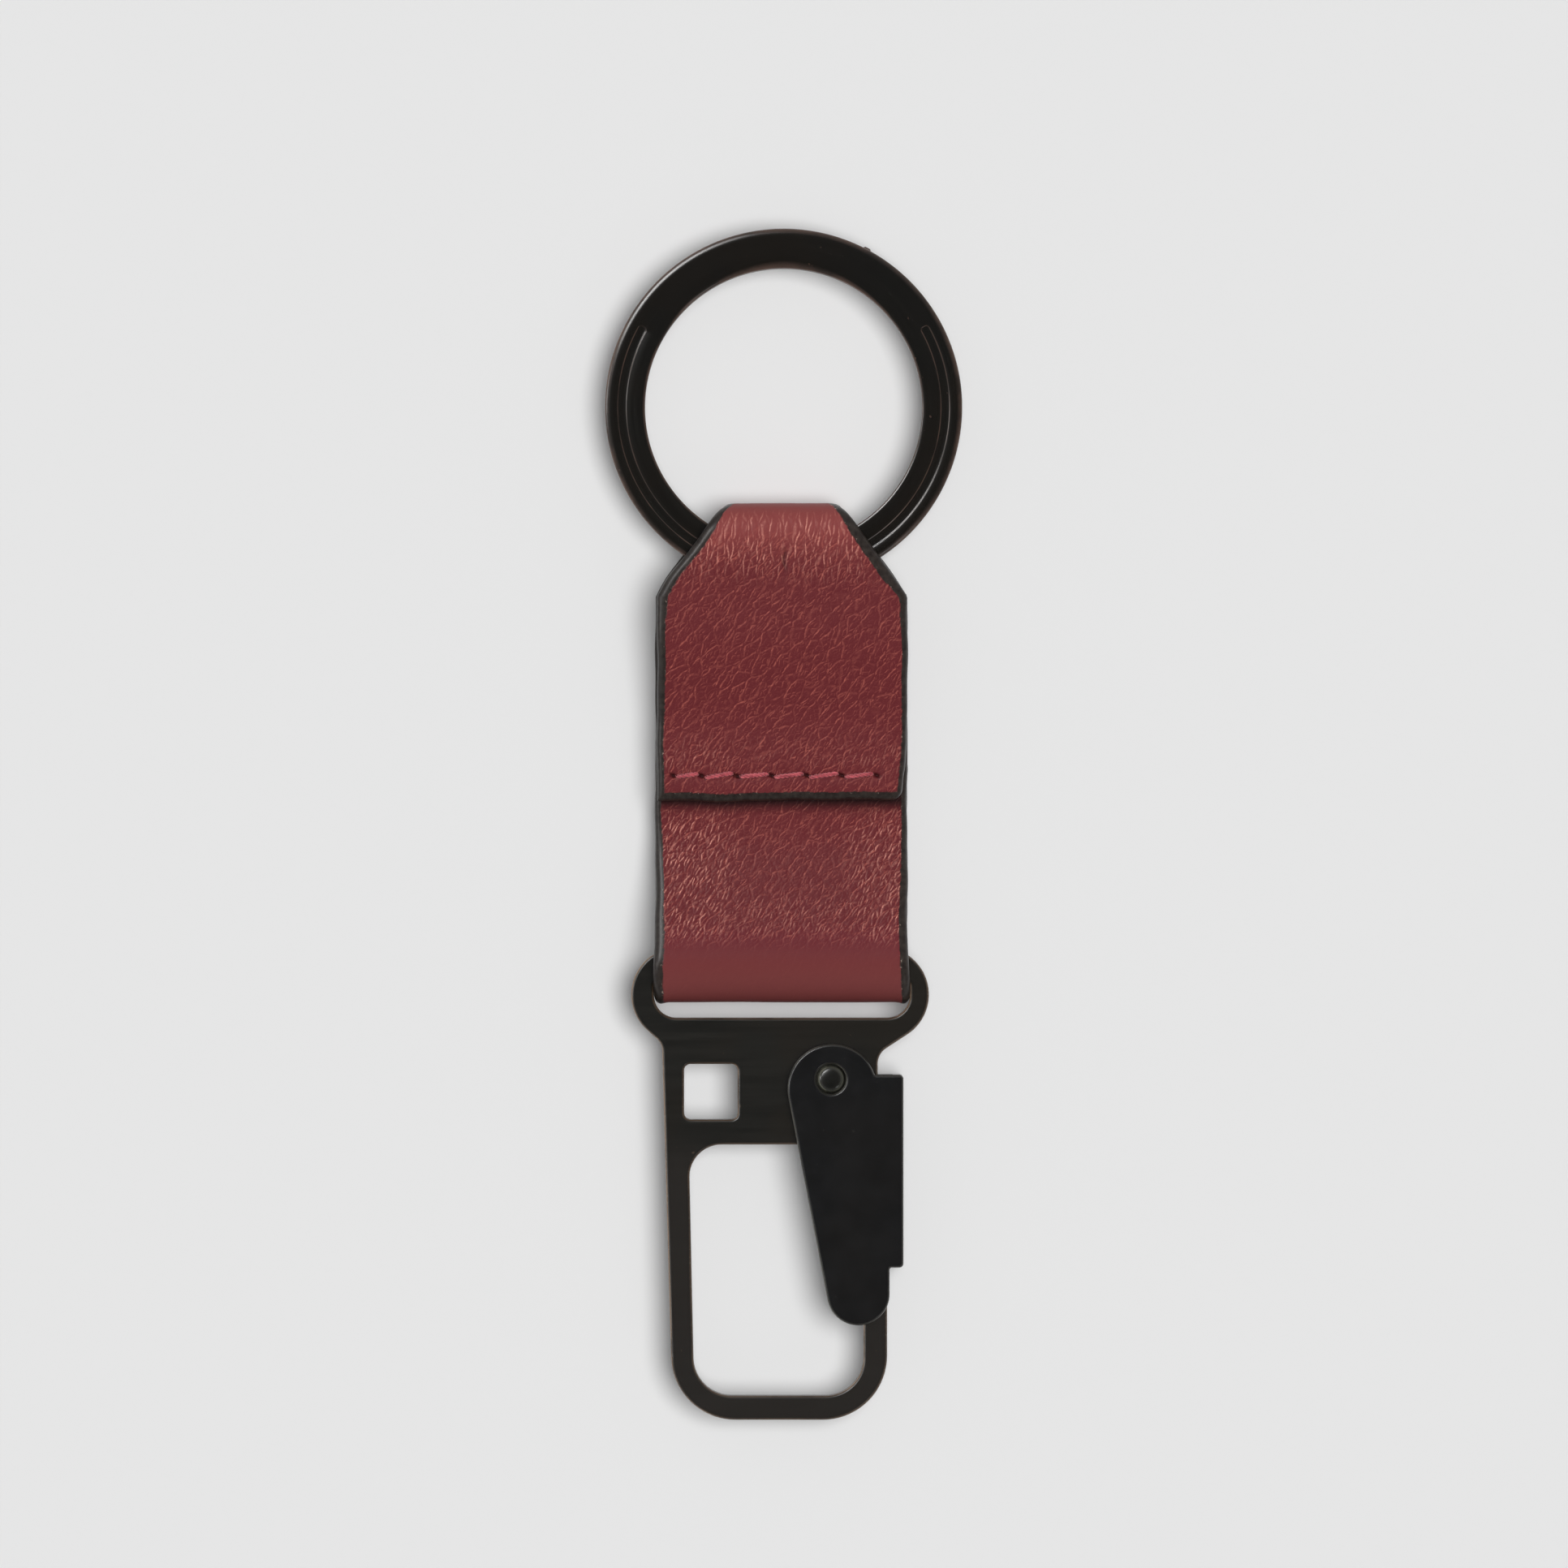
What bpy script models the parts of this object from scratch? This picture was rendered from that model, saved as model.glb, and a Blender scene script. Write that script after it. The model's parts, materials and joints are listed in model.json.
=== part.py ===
"""A leather key fob: a split key ring and a flat snap hook joined by one folded strap.

Metres, +Z up. The fob lies on its back on z = 0 with its front face up, the key ring towards
+Y and the hook towards -Y. The origin is the middle of its footprint. Along the strap, places
are measured from the axis of the hook's bar; on the gate, from the axis of its pin.
"""

import math

import bmesh
import bpy

# Leather strap: one strip, folded round the hook's bar and round the key ring
LEATHER_THICKNESS = 0.0014
STRAP_WIDTH = 0.0209
STRAP_OFFSET = -0.00015  # the strap's middle line, from the key ring's
STRAP_LENGTH = 0.03606  # from the bar's axis to the centre of the upper fold
LEATHER_EDGE_ROUNDING = 0.00045
LAYER_GAP = 0.0001  # between sewn layers, and at the cuts beside the flexing neck
BAR_FOLD_RADIUS = 0.00166  # inside the lower fold
LOOP_GAP = 0.0028  # between the two layers at the key ring
WAIST_WIDTH = 0.0105  # at the top of the upper fold
WAIST_HALF_LENGTH = 0.0008
TAPER_LENGTH = 0.00755
NECK_LENGTH = 0.0070  # the stretch that flexes
FLAP_END = 0.0139
FLAP_SLANT = 0.0006  # the flap's right side draws in by this much at its end
FLAP_SLANT_LENGTH = 0.0050
FLAP_FLAT_END = 0.0195
TUCK_LENGTH = 0.0070  # what the strap's other end reaches under the flap
TUCK_FLAT_START = 0.0125
LEATHER_BEND_RADIUS = 0.0140

# Seam: one row of lockstitch through the three layers
THREAD_RADIUS = 0.00018
SEAM_INSET = 0.0021  # from the flap's end
SEAM_LEFT = 0.00916  # the first hole, from the strap's middle line
FIRST_STITCH = 0.00238
STITCH_PITCH = 0.00294
STITCH_COUNT = 6
LEG_OFFSET = 0.00024  # each leg of the thread, from the middle of its hole
HOLE_CLEARANCE = 0.0001
THREAD_BEND_RADIUS = 0.0003
THREAD_SINK = 0.0001  # how deep the thread's middle lies under the leather's face
LOCK_GAP = 0.0007  # between the middles of the two threads, inside the hole

# Key ring: one flat wire wound nearly two turns, with the step between them at the bottom
RING_DIAMETER = 0.0300
RING_BAND = 0.00336  # the wire's width, seen from the front
RING_WIRE = 0.0011  # the wire's thickness
RING_TURN_GAP = 0.0001
RING_EDGE = 0.00012
RING_SLACK = 0.00095  # play between the ring and the upper fold, along the strap
RING_STEP_ANGLE = math.radians(30)
RING_END_ANGLE = math.radians(2)
RING_ARC = math.radians(6)
GROOVE_INSET = 0.00143  # the middle of the pressed groove, from the outer edge
GROOVE_WIDTH = 0.0008
GROOVE_DEPTH = 0.00015
GROOVE_OPEN_ANGLE = math.radians(61.4)  # from the top to each end of the groove

# Hook plate: one stamping, with the bar, two ears, the body and the hook
PLATE_THICKNESS = 0.0024
PLATE_EDGE = 0.0002
HOOK_LENGTH = 0.0381  # from the bar's axis to the hook's lower end
BAR_WIDTH = 0.0023
SLOT_CLEARANCE = 0.0003  # each side of the strap
SLOT_DEPTH = 0.00436  # from the bar's axis to the slot's lower edge
SLOT_LOWER_RADIUS = 0.0019
SLOT_UPPER_RADIUS = 0.0006
LEFT_EAR_WALL = 0.0019
RIGHT_EAR_WALL = 0.0016
EAR_RADIUS = 0.0040
EAR_SHOULDER_RADIUS = 0.0020
EAR_SHOULDER_ANGLE = math.radians(51)
LEFT_NECK_DROP = 0.0071
LEFT_NECK_RADIUS = 0.0013
RIGHT_NECK_DROP = 0.00824
RIGHT_NECK_RADIUS = 0.0016
BODY_LEFT = 0.0102  # left of the key ring's middle line
BODY_RIGHT = 0.0079  # right of it
FOOT_LEFT = 0.00945
FOOT_RIGHT = 0.00869
FOOT_RADIUS = 0.0054
LEFT_RAIL = 0.00188
UPPER_LEFT_RAIL = 0.0023
NOSE_WIDTH = 0.00199
BOTTOM_RAIL = 0.00204
OPENING_DROP = 0.0150
OPENING_FOOT_RADIUS = 0.0032
OPENING_TOP_RADIUS = 0.0027
LUG_CORNER_RADIUS = 0.0004
LUG_SHOULDER_RADIUS = 0.0006
NOSE_CORNER_RADIUS = 0.0004
SQUARE_LEFT = 0.00836
SQUARE_WEB = 0.00212  # between the square hole and the hook's opening
SQUARE_WIDTH = 0.0045
SQUARE_HEIGHT = 0.00464
SQUARE_RADIUS = 0.00055

# Gate: folded sheet that straddles the plate and turns on the pin
PIVOT_RIGHT = 0.00396
PIVOT_RISE = 0.00553  # above the top of the hook's opening
GATE_SHEET = 0.0009
GATE_EDGE = 0.0003
GATE_SIDE_CLEARANCE = 0.00015
GATE_OPEN_ANGLE = math.radians(26)
STOP_GAP = 0.00006
TIP_CLEARANCE = 0.0001
CHEEK_TOP_RADIUS = 0.00375
CHEEK_TOP_RIGHT = 0.00011
CHEEK_TOP_DROP = 0.00082
CHEEK_FOOT_RADIUS = 0.00263
CHEEK_FOOT_RIGHT = 0.0023
CHEEK_FOOT_DROP = 0.01804
SPINE_RIGHT = 0.00609
SPINE_TOP = 0.00034
SPINE_BOTTOM = 0.01583
SPINE_CORNER_RADIUS = 0.00035
NOTCH_RADIUS = 0.0002
TAB_WIDTH = 0.0009
TAB_LENGTH = 0.0020
TAB_DROP = 0.0173
TAB_GAP = 0.0001

# Pivot pin: fixed in the plate, with a domed end in each cheek
PIN_RADIUS = 0.00116
PIN_SEAT_GAP = 0.00005
PIN_RUNNING_GAP = 0.0001
PIN_DOME = 0.00035
PIN_SIDES = 24

# Torsion spring: coiled round the pin in a pocket in the plate's back
SPRING_WIRE_RADIUS = 0.0002
SPRING_RADIUS = 0.00185
SPRING_PITCH = 0.00046
SPRING_TURNS = 2.25
SPRING_POINTS_A_TURN = 12
SPRING_CLEARANCE = 0.00008
SPRING_FOOT_DROP = 0.0070  # where the moving leg bears on the gate's spine
SPRING_FIXED_LEG = 0.0022
POCKET_RADIUS = 0.0024
POCKET_DEPTH = 0.0015
POCKET_LEG_RADIUS = 0.00035
RELIEF_DEPTH = 0.00055  # thins the lug where the moving leg sweeps
RELIEF_RISE = 0.0010
RELIEF_LEFT = 0.0006

# Modelling values
ARC_STEP = math.radians(15)
COARSE_ARC_STEP = math.radians(30)  # for the seam
SMALL_ARC_STEPS = 3
WELD = 0.000001
OVERRUN = 0.0010  # how far a cutter runs past what it cuts

# Worked-out sizes: the strap's layers, from the table up
HALF_STRAP = STRAP_WIDTH / 2
BAR_Z = LEATHER_THICKNESS + BAR_FOLD_RADIUS
RING_Z = LEATHER_THICKNESS + LOOP_GAP / 2
BACK_Z = LEATHER_THICKNESS / 2
TUCK_Z = BACK_Z + LEATHER_THICKNESS + LAYER_GAP
FLAP_Z = TUCK_Z + LEATHER_THICKNESS + LAYER_GAP
STACK_TOP = FLAP_Z + LEATHER_THICKNESS / 2
FOLD_RADIUS = (LOOP_GAP + LEATHER_THICKNESS) / 2
LOOP_FRONT_Z = RING_Z + FOLD_RADIUS
TAPER_END = WAIST_HALF_LENGTH + TAPER_LENGTH
NECK_TOP = STRAP_LENGTH + FOLD_RADIUS * math.pi / 2 - TAPER_END
NECK_BOTTOM = NECK_TOP - NECK_LENGTH
SEAM_Y = FLAP_END + SEAM_INSET

# Worked-out sizes: the key ring
RING_OUTER = RING_DIAMETER / 2
RING_INNER = RING_OUTER - RING_BAND
RING_LEVEL = (RING_WIRE + RING_TURN_GAP) / 2
RING_TOUCH = math.sqrt(RING_INNER**2 - (WAIST_WIDTH / 2) ** 2)
RING_Y = STRAP_LENGTH + LOOP_GAP / 2 - RING_SLACK + RING_TOUCH
BAR_Y = (HOOK_LENGTH - RING_Y - RING_OUTER) / 2

# Worked-out sizes: the hook and the gate
HALF_PLATE = PLATE_THICKNESS / 2
PIVOT_DROP = OPENING_DROP - PIVOT_RISE
SQUARE_DROP = OPENING_DROP - SQUARE_WEB - SQUARE_HEIGHT
CHEEK_INSIDE = HALF_PLATE + GATE_SIDE_CLEARANCE
CHEEK_OUTSIDE = CHEEK_INSIDE + GATE_SHEET
PIN_HOLE_RADIUS = PIN_RADIUS + PIN_RUNNING_GAP
SPINE_INSIDE = SPINE_RIGHT - GATE_SHEET
NOSE_INNER = FOOT_RIGHT - NOSE_WIDTH
NOSE_TIP_REACH = math.hypot(SPINE_RIGHT, SPINE_BOTTOM) + TIP_CLEARANCE


def collection(name):
    made = bpy.data.collections.new(name)
    bpy.context.scene.collection.children.link(made)
    return made


def start():
    """Empties the scene and makes the two collections."""
    for old in list(bpy.data.objects):
        bpy.data.objects.remove(old)
    return collection("leather_key_fob"), collection("cutters")


def material(name, colour, roughness, metallic=0.0):
    made = bpy.data.materials.new(name)
    made.use_nodes = True
    shader = made.node_tree.nodes["Principled BSDF"]
    shader.inputs["Base Color"].default_value = (*colour, 1.0)
    shader.inputs["Roughness"].default_value = roughness
    shader.inputs["Metallic"].default_value = metallic
    return made


def axis_frame(name, parent, location):
    """An empty that carries pieces. A moving body's empty is on its joint's axis."""
    made = bpy.data.objects.new(name, None)
    parts.objects.link(made)
    made.parent = parent
    made.location = location
    return made


def add_piece(name, mesh, parent, look):
    mesh.shade_smooth()
    mesh.set_sharp_from_angle(angle=math.radians(35))
    made = bpy.data.objects.new(name, mesh)
    parts.objects.link(made)
    made.parent = parent
    made.data.materials.append(look)
    return made


def add_cutter(name, mesh, parent):
    made = bpy.data.objects.new(name, mesh)
    cutters.objects.link(made)
    made.parent = parent
    made.hide_render = True
    made.display_type = "WIRE"
    return made


def combine(piece, other, operation="DIFFERENCE"):
    step = piece.modifiers.new(other.name, "BOOLEAN")
    step.operation = operation
    step.object = other


def welded(curve):
    """The closed mesh of a curve, whose caps are loose until they are welded."""
    holder = bpy.data.objects.new(curve.name, curve)
    bpy.context.scene.collection.objects.link(holder)
    bpy.context.view_layer.update()
    mesh = bpy.data.meshes.new_from_object(holder.evaluated_get(bpy.context.evaluated_depsgraph_get()))
    bpy.data.objects.remove(holder)
    shell = bmesh.new()
    shell.from_mesh(mesh)
    bmesh.ops.remove_doubles(shell, verts=shell.verts, dist=WELD)
    bmesh.ops.recalc_face_normals(shell, faces=shell.faces)
    shell.to_mesh(mesh)
    shell.free()
    return mesh


def flat_mesh(name, loops, low, high, edge=0.0):
    """A flat stamping between two heights. Its outline and holes are closed loops of points."""
    curve = bpy.data.curves.new(name, "CURVE")
    curve.dimensions = "2D"
    curve.fill_mode = "BOTH"
    curve.extrude = (high - low) / 2 - edge
    curve.bevel_depth = edge
    curve.bevel_resolution = 1
    curve.offset = -edge
    for loop in loops:
        spline = curve.splines.new("POLY")
        spline.points.add(len(loop) - 1)
        for point, (x, y) in zip(spline.points, loop):
            point.co = (x, y, 0, 1)
        spline.use_cyclic_u = True
    mesh = welded(curve)
    for vertex in mesh.vertices:
        vertex.co.z += (high + low) / 2
    return mesh


def wire_mesh(name, points, radius, resolution):
    """A round wire or thread along a line of points, with closed ends."""
    curve = bpy.data.curves.new(name, "CURVE")
    curve.dimensions = "3D"
    curve.bevel_depth = radius
    curve.bevel_resolution = resolution
    curve.use_fill_caps = True
    spline = curve.splines.new("POLY")
    spline.points.add(len(points) - 1)
    for point, place in zip(spline.points, points):
        point.co = (*place, 1)
    return welded(curve)


def belt(arcs, closed=True, arc_step=ARC_STEP):
    """The line of tangents and arcs that runs round circles in turn, as a belt does.

    Each arc is (x, y, radius, turn): turn is 1 where the line bends left and -1 where it bends
    right. A radius of 0 is a corner or an end.
    """
    count = len(arcs)
    headings = []
    for i in range(count if closed else count - 1):
        x0, y0, radius0, turn0 = arcs[i]
        x1, y1, radius1, turn1 = arcs[(i + 1) % count]
        lean = (turn1 * radius1 - turn0 * radius0) / math.hypot(x1 - x0, y1 - y0)
        headings.append(math.atan2(y1 - y0, x1 - x0) - math.asin(max(-1.0, min(1.0, lean))))
    points = []
    for i, (x, y, radius, turn) in enumerate(arcs):
        arriving = headings[i - 1] if closed or i else headings[0]
        leaving = headings[i] if closed or i < count - 1 else headings[-1]
        sweep = ((leaving - arriving) * turn + math.pi / 2) % math.tau - math.pi / 2
        steps = max(SMALL_ARC_STEPS, math.ceil(sweep / arc_step)) if radius else 0
        for k in range(steps + 1):
            heading = arriving + turn * sweep * k / max(steps, 1)
            points.append((x + turn * radius * math.sin(heading), y - turn * radius * math.cos(heading)))
    return [p for i, p in enumerate(points) if not i or math.dist(p, points[i - 1]) > WELD]


def circle_loop(x, y, radius, sides):
    angles = [math.tau * k / sides for k in range(sides)]
    return [(x + radius * math.cos(a), y + radius * math.sin(a)) for a in angles]


def rounded_box(left, right, low, high, low_radius, high_radius):
    corners = [
        (left + low_radius, low + low_radius, low_radius, 1),
        (right - low_radius, low + low_radius, low_radius, 1),
        (right - high_radius, high - high_radius, high_radius, 1),
        (left + high_radius, high - high_radius, high_radius, 1),
    ]
    return belt(corners)


def add_ribbon(name, rail_a, rail_b, thickness, edge, parent, look):
    """A strip between two rails of points, thickened about its middle, with rounded edges."""
    mesh = bpy.data.meshes.new(name)
    strip = bmesh.new()
    rows = [(strip.verts.new(a), strip.verts.new(b)) for a, b in zip(rail_a, rail_b)]
    for (a0, b0), (a1, b1) in zip(rows, rows[1:]):
        strip.faces.new((a0, b0, b1, a1))
    strip.to_mesh(mesh)
    strip.free()
    piece = add_piece(name, mesh, parent, look)
    shell = piece.modifiers.new("thickness", "SOLIDIFY")
    shell.thickness = thickness
    shell.offset = 0.0
    shell.use_even_offset = True
    rounding = piece.modifiers.new("edges", "BEVEL")
    rounding.width = edge
    rounding.segments = 2
    rounding.limit_method = "ANGLE"
    rounding.angle_limit = math.radians(50)
    return piece


def between(path, low, high):
    """The part of a line of (y, z) points whose y lies between two values."""
    kept = []
    for (y0, z0), (y1, z1) in zip(path, path[1:]):
        ends = [(y0, z0)] if low <= y0 <= high else []
        crossings = [c for c in (low, high) if min(y0, y1) < c < max(y0, y1)]
        for c in sorted(crossings, reverse=y1 < y0):
            ends.append((c, z0 + (z1 - z0) * (c - y0) / (y1 - y0)))
        kept += ends
    if low <= path[-1][0] <= high:
        kept.append(path[-1])
    return kept


def add_strap_piece(name, path, sides, parent, look):
    """A stretch of the strap. sides gives its left and right x at each point of the path."""
    oy = parent.location.y if parent.parent else 0
    oz = parent.location.z if parent.parent else 0
    left = [(x, y - oy, z - oz) for (x, _), (y, z) in zip(sides, path)]
    right = [(x, y - oy, z - oz) for (_, x), (y, z) in zip(sides, path)]
    return add_ribbon(name, left, right, LEATHER_THICKNESS, LEATHER_EDGE_ROUNDING, parent, look)


def full_width(path):
    return [(STRAP_OFFSET - HALF_STRAP, STRAP_OFFSET + HALF_STRAP)] * len(path)


def flap_sides(path):
    """The strap's full width, drawn in on the right towards the flap's end."""
    sides = []
    for y, _ in path:
        share = max(0.0, 1 - (y - FLAP_END) / FLAP_SLANT_LENGTH)
        sides.append((STRAP_OFFSET - HALF_STRAP, STRAP_OFFSET + HALF_STRAP - FLAP_SLANT * share))
    return sides


def loop_sides(path):
    """The taper: narrow at the top of the fold, and wider along the leather on both sides."""
    lengths = [0.0]
    for here, there in zip(path, path[1:]):
        lengths.append(lengths[-1] + math.dist(here, there))
    tops = [i for i, (y, _) in enumerate(path) if y == max(p[0] for p in path)]
    top = lengths[tops[0]]
    sides = []
    for length in lengths:
        share = min(1.0, max(0.0, (abs(length - top) - WAIST_HALF_LENGTH) / TAPER_LENGTH))
        half = WAIST_WIDTH / 2 + (STRAP_WIDTH - WAIST_WIDTH) / 2 * share
        sides.append((STRAP_OFFSET - half, STRAP_OFFSET + half))
    return sides


def hole_places():
    """The x of each needle hole along the seam, from the left."""
    first = STRAP_OFFSET - SEAM_LEFT
    later = [first + FIRST_STITCH + STITCH_PITCH * k for k in range(STITCH_COUNT)]
    return [first, *later]


def add_leather(root, neck, look):
    """The strap in the stretches that it flexes between: one strip of leather in the real thing."""
    lower = belt(
        [
            (FLAP_END + TUCK_LENGTH, TUCK_Z, 0, 1),
            (TUCK_FLAT_START, TUCK_Z + LEATHER_BEND_RADIUS, LEATHER_BEND_RADIUS, -1),
            (0, BAR_Z, BAR_FOLD_RADIUS + LEATHER_THICKNESS / 2, 1),
            (NECK_BOTTOM, BACK_Z, 0, 1),
        ],
        closed=False,
    )
    upper = belt(
        [
            (NECK_TOP + LAYER_GAP, BACK_Z, 0, 1),
            (STRAP_LENGTH, RING_Z, FOLD_RADIUS, 1),
            (NECK_TOP, LOOP_FRONT_Z - LEATHER_BEND_RADIUS, LEATHER_BEND_RADIUS, 1),
            (FLAP_FLAT_END, FLAP_Z + LEATHER_BEND_RADIUS, LEATHER_BEND_RADIUS, -1),
            (FLAP_END, FLAP_Z, 0, 1),
        ],
        closed=False,
    )
    loop = between(upper, NECK_TOP + LAYER_GAP, STRAP_LENGTH + FOLD_RADIUS + OVERRUN)
    neck_front = between(upper, NECK_BOTTOM + LAYER_GAP, NECK_TOP)
    neck_back = [(NECK_BOTTOM + LAYER_GAP, BACK_Z), (NECK_TOP, BACK_Z)]
    flap = between(upper, FLAP_END - OVERRUN, NECK_BOTTOM)
    strap = add_strap_piece("leather_strap", lower, full_width(lower), root, look)
    cover = add_strap_piece("leather_flap", flap, flap_sides(flap), root, look)
    add_strap_piece("leather_neck_front", neck_front, full_width(neck_front), neck, look)
    add_strap_piece("leather_neck_back", neck_back, full_width(neck_back), neck, look)
    add_strap_piece("leather_loop", loop, loop_sides(loop), neck, look)
    return strap, cover


def cut_seam(strap, cover, root):
    """Needle holes through all three layers, and the dents in which the threads lie."""
    holes = hole_places()
    reach = LEG_OFFSET
    width = THREAD_RADIUS + HOLE_CLEARANCE
    ends = [((x - reach, SEAM_Y, width, 1), (x + reach, SEAM_Y, width, 1)) for x in holes]
    slots = [belt(pair, arc_step=COARSE_ARC_STEP) for pair in ends]
    needle = add_cutter("needle_holes", flat_mesh("needle_holes", slots, -OVERRUN, STACK_TOP + OVERRUN), root)
    dent_ends = [(holes[0], SEAM_Y, width, 1), (holes[-1], SEAM_Y, width, 1)]
    dent = [belt(dent_ends, arc_step=COARSE_ARC_STEP)]
    depth = THREAD_SINK + THREAD_RADIUS + HOLE_CLEARANCE
    front_mesh = flat_mesh("front_dent", dent, STACK_TOP - depth, STACK_TOP + OVERRUN)
    back_depth = THREAD_RADIUS * 2 + HOLE_CLEARANCE * 2
    back_mesh = flat_mesh("back_dent", dent, -OVERRUN, back_depth)
    combine(cover, needle)
    combine(cover, add_cutter("front_dent", front_mesh, root))
    combine(strap, needle)
    combine(strap, add_cutter("back_dent", back_mesh, root))


def thread_line(surface, lock, side):
    """A thread's (x, z) line: along the surface, and down into each hole as a hairpin.

    side is 1 for the needle thread, which lies on the front, and -1 for the bobbin thread.
    """
    holes = hole_places()
    bend = THREAD_BEND_RADIUS
    run = surface - side * bend
    turn = lock + side * LEG_OFFSET
    arcs = [(holes[0] + LEG_OFFSET, lock, 0, 1)]
    for here, there in zip(holes, holes[1:]):
        arcs.append((here + LEG_OFFSET + bend, run, bend, -side))
        arcs.append((there - LEG_OFFSET - bend, run, bend, -side))
        arcs.append((there, turn, LEG_OFFSET, side))
    arcs[-1] = (holes[-1] - LEG_OFFSET, lock, 0, 1)
    return [(x, SEAM_Y, z) for x, z in belt(arcs, closed=False, arc_step=COARSE_ARC_STEP)]


def add_threads(root, look):
    middle = (STACK_TOP + THREAD_RADIUS) / 2
    needle = thread_line(STACK_TOP - THREAD_SINK, middle + LOCK_GAP / 2, 1)
    bobbin = thread_line(THREAD_RADIUS + HOLE_CLEARANCE, middle - LOCK_GAP / 2, -1)
    add_piece("needle_thread", wire_mesh("needle_thread", needle, THREAD_RADIUS, 1), root, look)
    add_piece("bobbin_thread", wire_mesh("bobbin_thread", bobbin, THREAD_RADIUS, 1), root, look)


def ring_height(angle):
    """The height of the wire's middle, from the ring's, along its two turns."""
    share = min(1.0, max(0.0, (angle - math.tau) / RING_STEP_ANGLE))
    return RING_LEVEL * (2 * share * share * (3 - 2 * share) - 1)


def add_key_ring(parent, look):
    """The wire starts past the step on the lower turn and ends before it on the upper one."""
    start_angle = RING_STEP_ANGLE + RING_END_ANGLE
    end_angle = 2 * math.tau - RING_END_ANGLE
    steps = math.ceil((end_angle - start_angle) / RING_ARC)
    base = -math.pi / 2 - RING_STEP_ANGLE / 2
    inner = []
    outer = []
    for k in range(steps + 1):
        angle = start_angle + (end_angle - start_angle) * k / steps
        c = math.cos(base + angle)
        s = math.sin(base + angle)
        inner.append((RING_INNER * c, RING_INNER * s, ring_height(angle)))
        outer.append((RING_OUTER * c, RING_OUTER * s, ring_height(angle)))
    ring = add_ribbon("key_ring", inner, outer, RING_WIRE, RING_EDGE, parent, look)
    ring.modifiers["edges"].segments = 1
    middle = RING_OUTER - GROOVE_INSET
    half = GROOVE_WIDTH / 2
    first = math.pi / 2 + GROOVE_OPEN_ANGLE
    last = math.pi / 2 - GROOVE_OPEN_ANGLE + math.tau
    groove = belt(
        [
            (0, 0, middle + half, 1),
            (middle * math.cos(last), middle * math.sin(last), half, 1),
            (0, 0, middle - half, -1),
            (middle * math.cos(first), middle * math.sin(first), half, 1),
        ],
        arc_step=RING_ARC,
    )
    top = RING_LEVEL + RING_WIRE / 2
    groove_mesh = flat_mesh("ring_groove", [groove], top - GROOVE_DEPTH, top + OVERRUN)
    combine(ring, add_cutter("ring_groove", groove_mesh, parent))


def ear_arcs(slot_side, wall, side):
    """An ear's big arc and the smaller one that leads from it to the bar's upper edge."""
    offset = EAR_RADIUS - EAR_SHOULDER_RADIUS
    x = slot_side + side * (wall - EAR_RADIUS)
    y = BAR_WIDTH / 2 - EAR_SHOULDER_RADIUS - offset * math.sin(EAR_SHOULDER_ANGLE)
    shoulder_x = x + side * offset * math.cos(EAR_SHOULDER_ANGLE)
    big = (x, y, EAR_RADIUS, 1)
    small = (shoulder_x, BAR_WIDTH / 2 - EAR_SHOULDER_RADIUS, EAR_SHOULDER_RADIUS, 1)
    return big, small


def gate_stop_point(inset, drop):
    """The point on the open gate's stop line, moved inwards, at a depth under the pivot."""
    reach = SPINE_INSIDE - STOP_GAP - inset
    x = (reach - drop * math.sin(GATE_OPEN_ANGLE)) / math.cos(GATE_OPEN_ANGLE)
    return PIVOT_RIGHT + x, -PIVOT_DROP - drop


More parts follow.
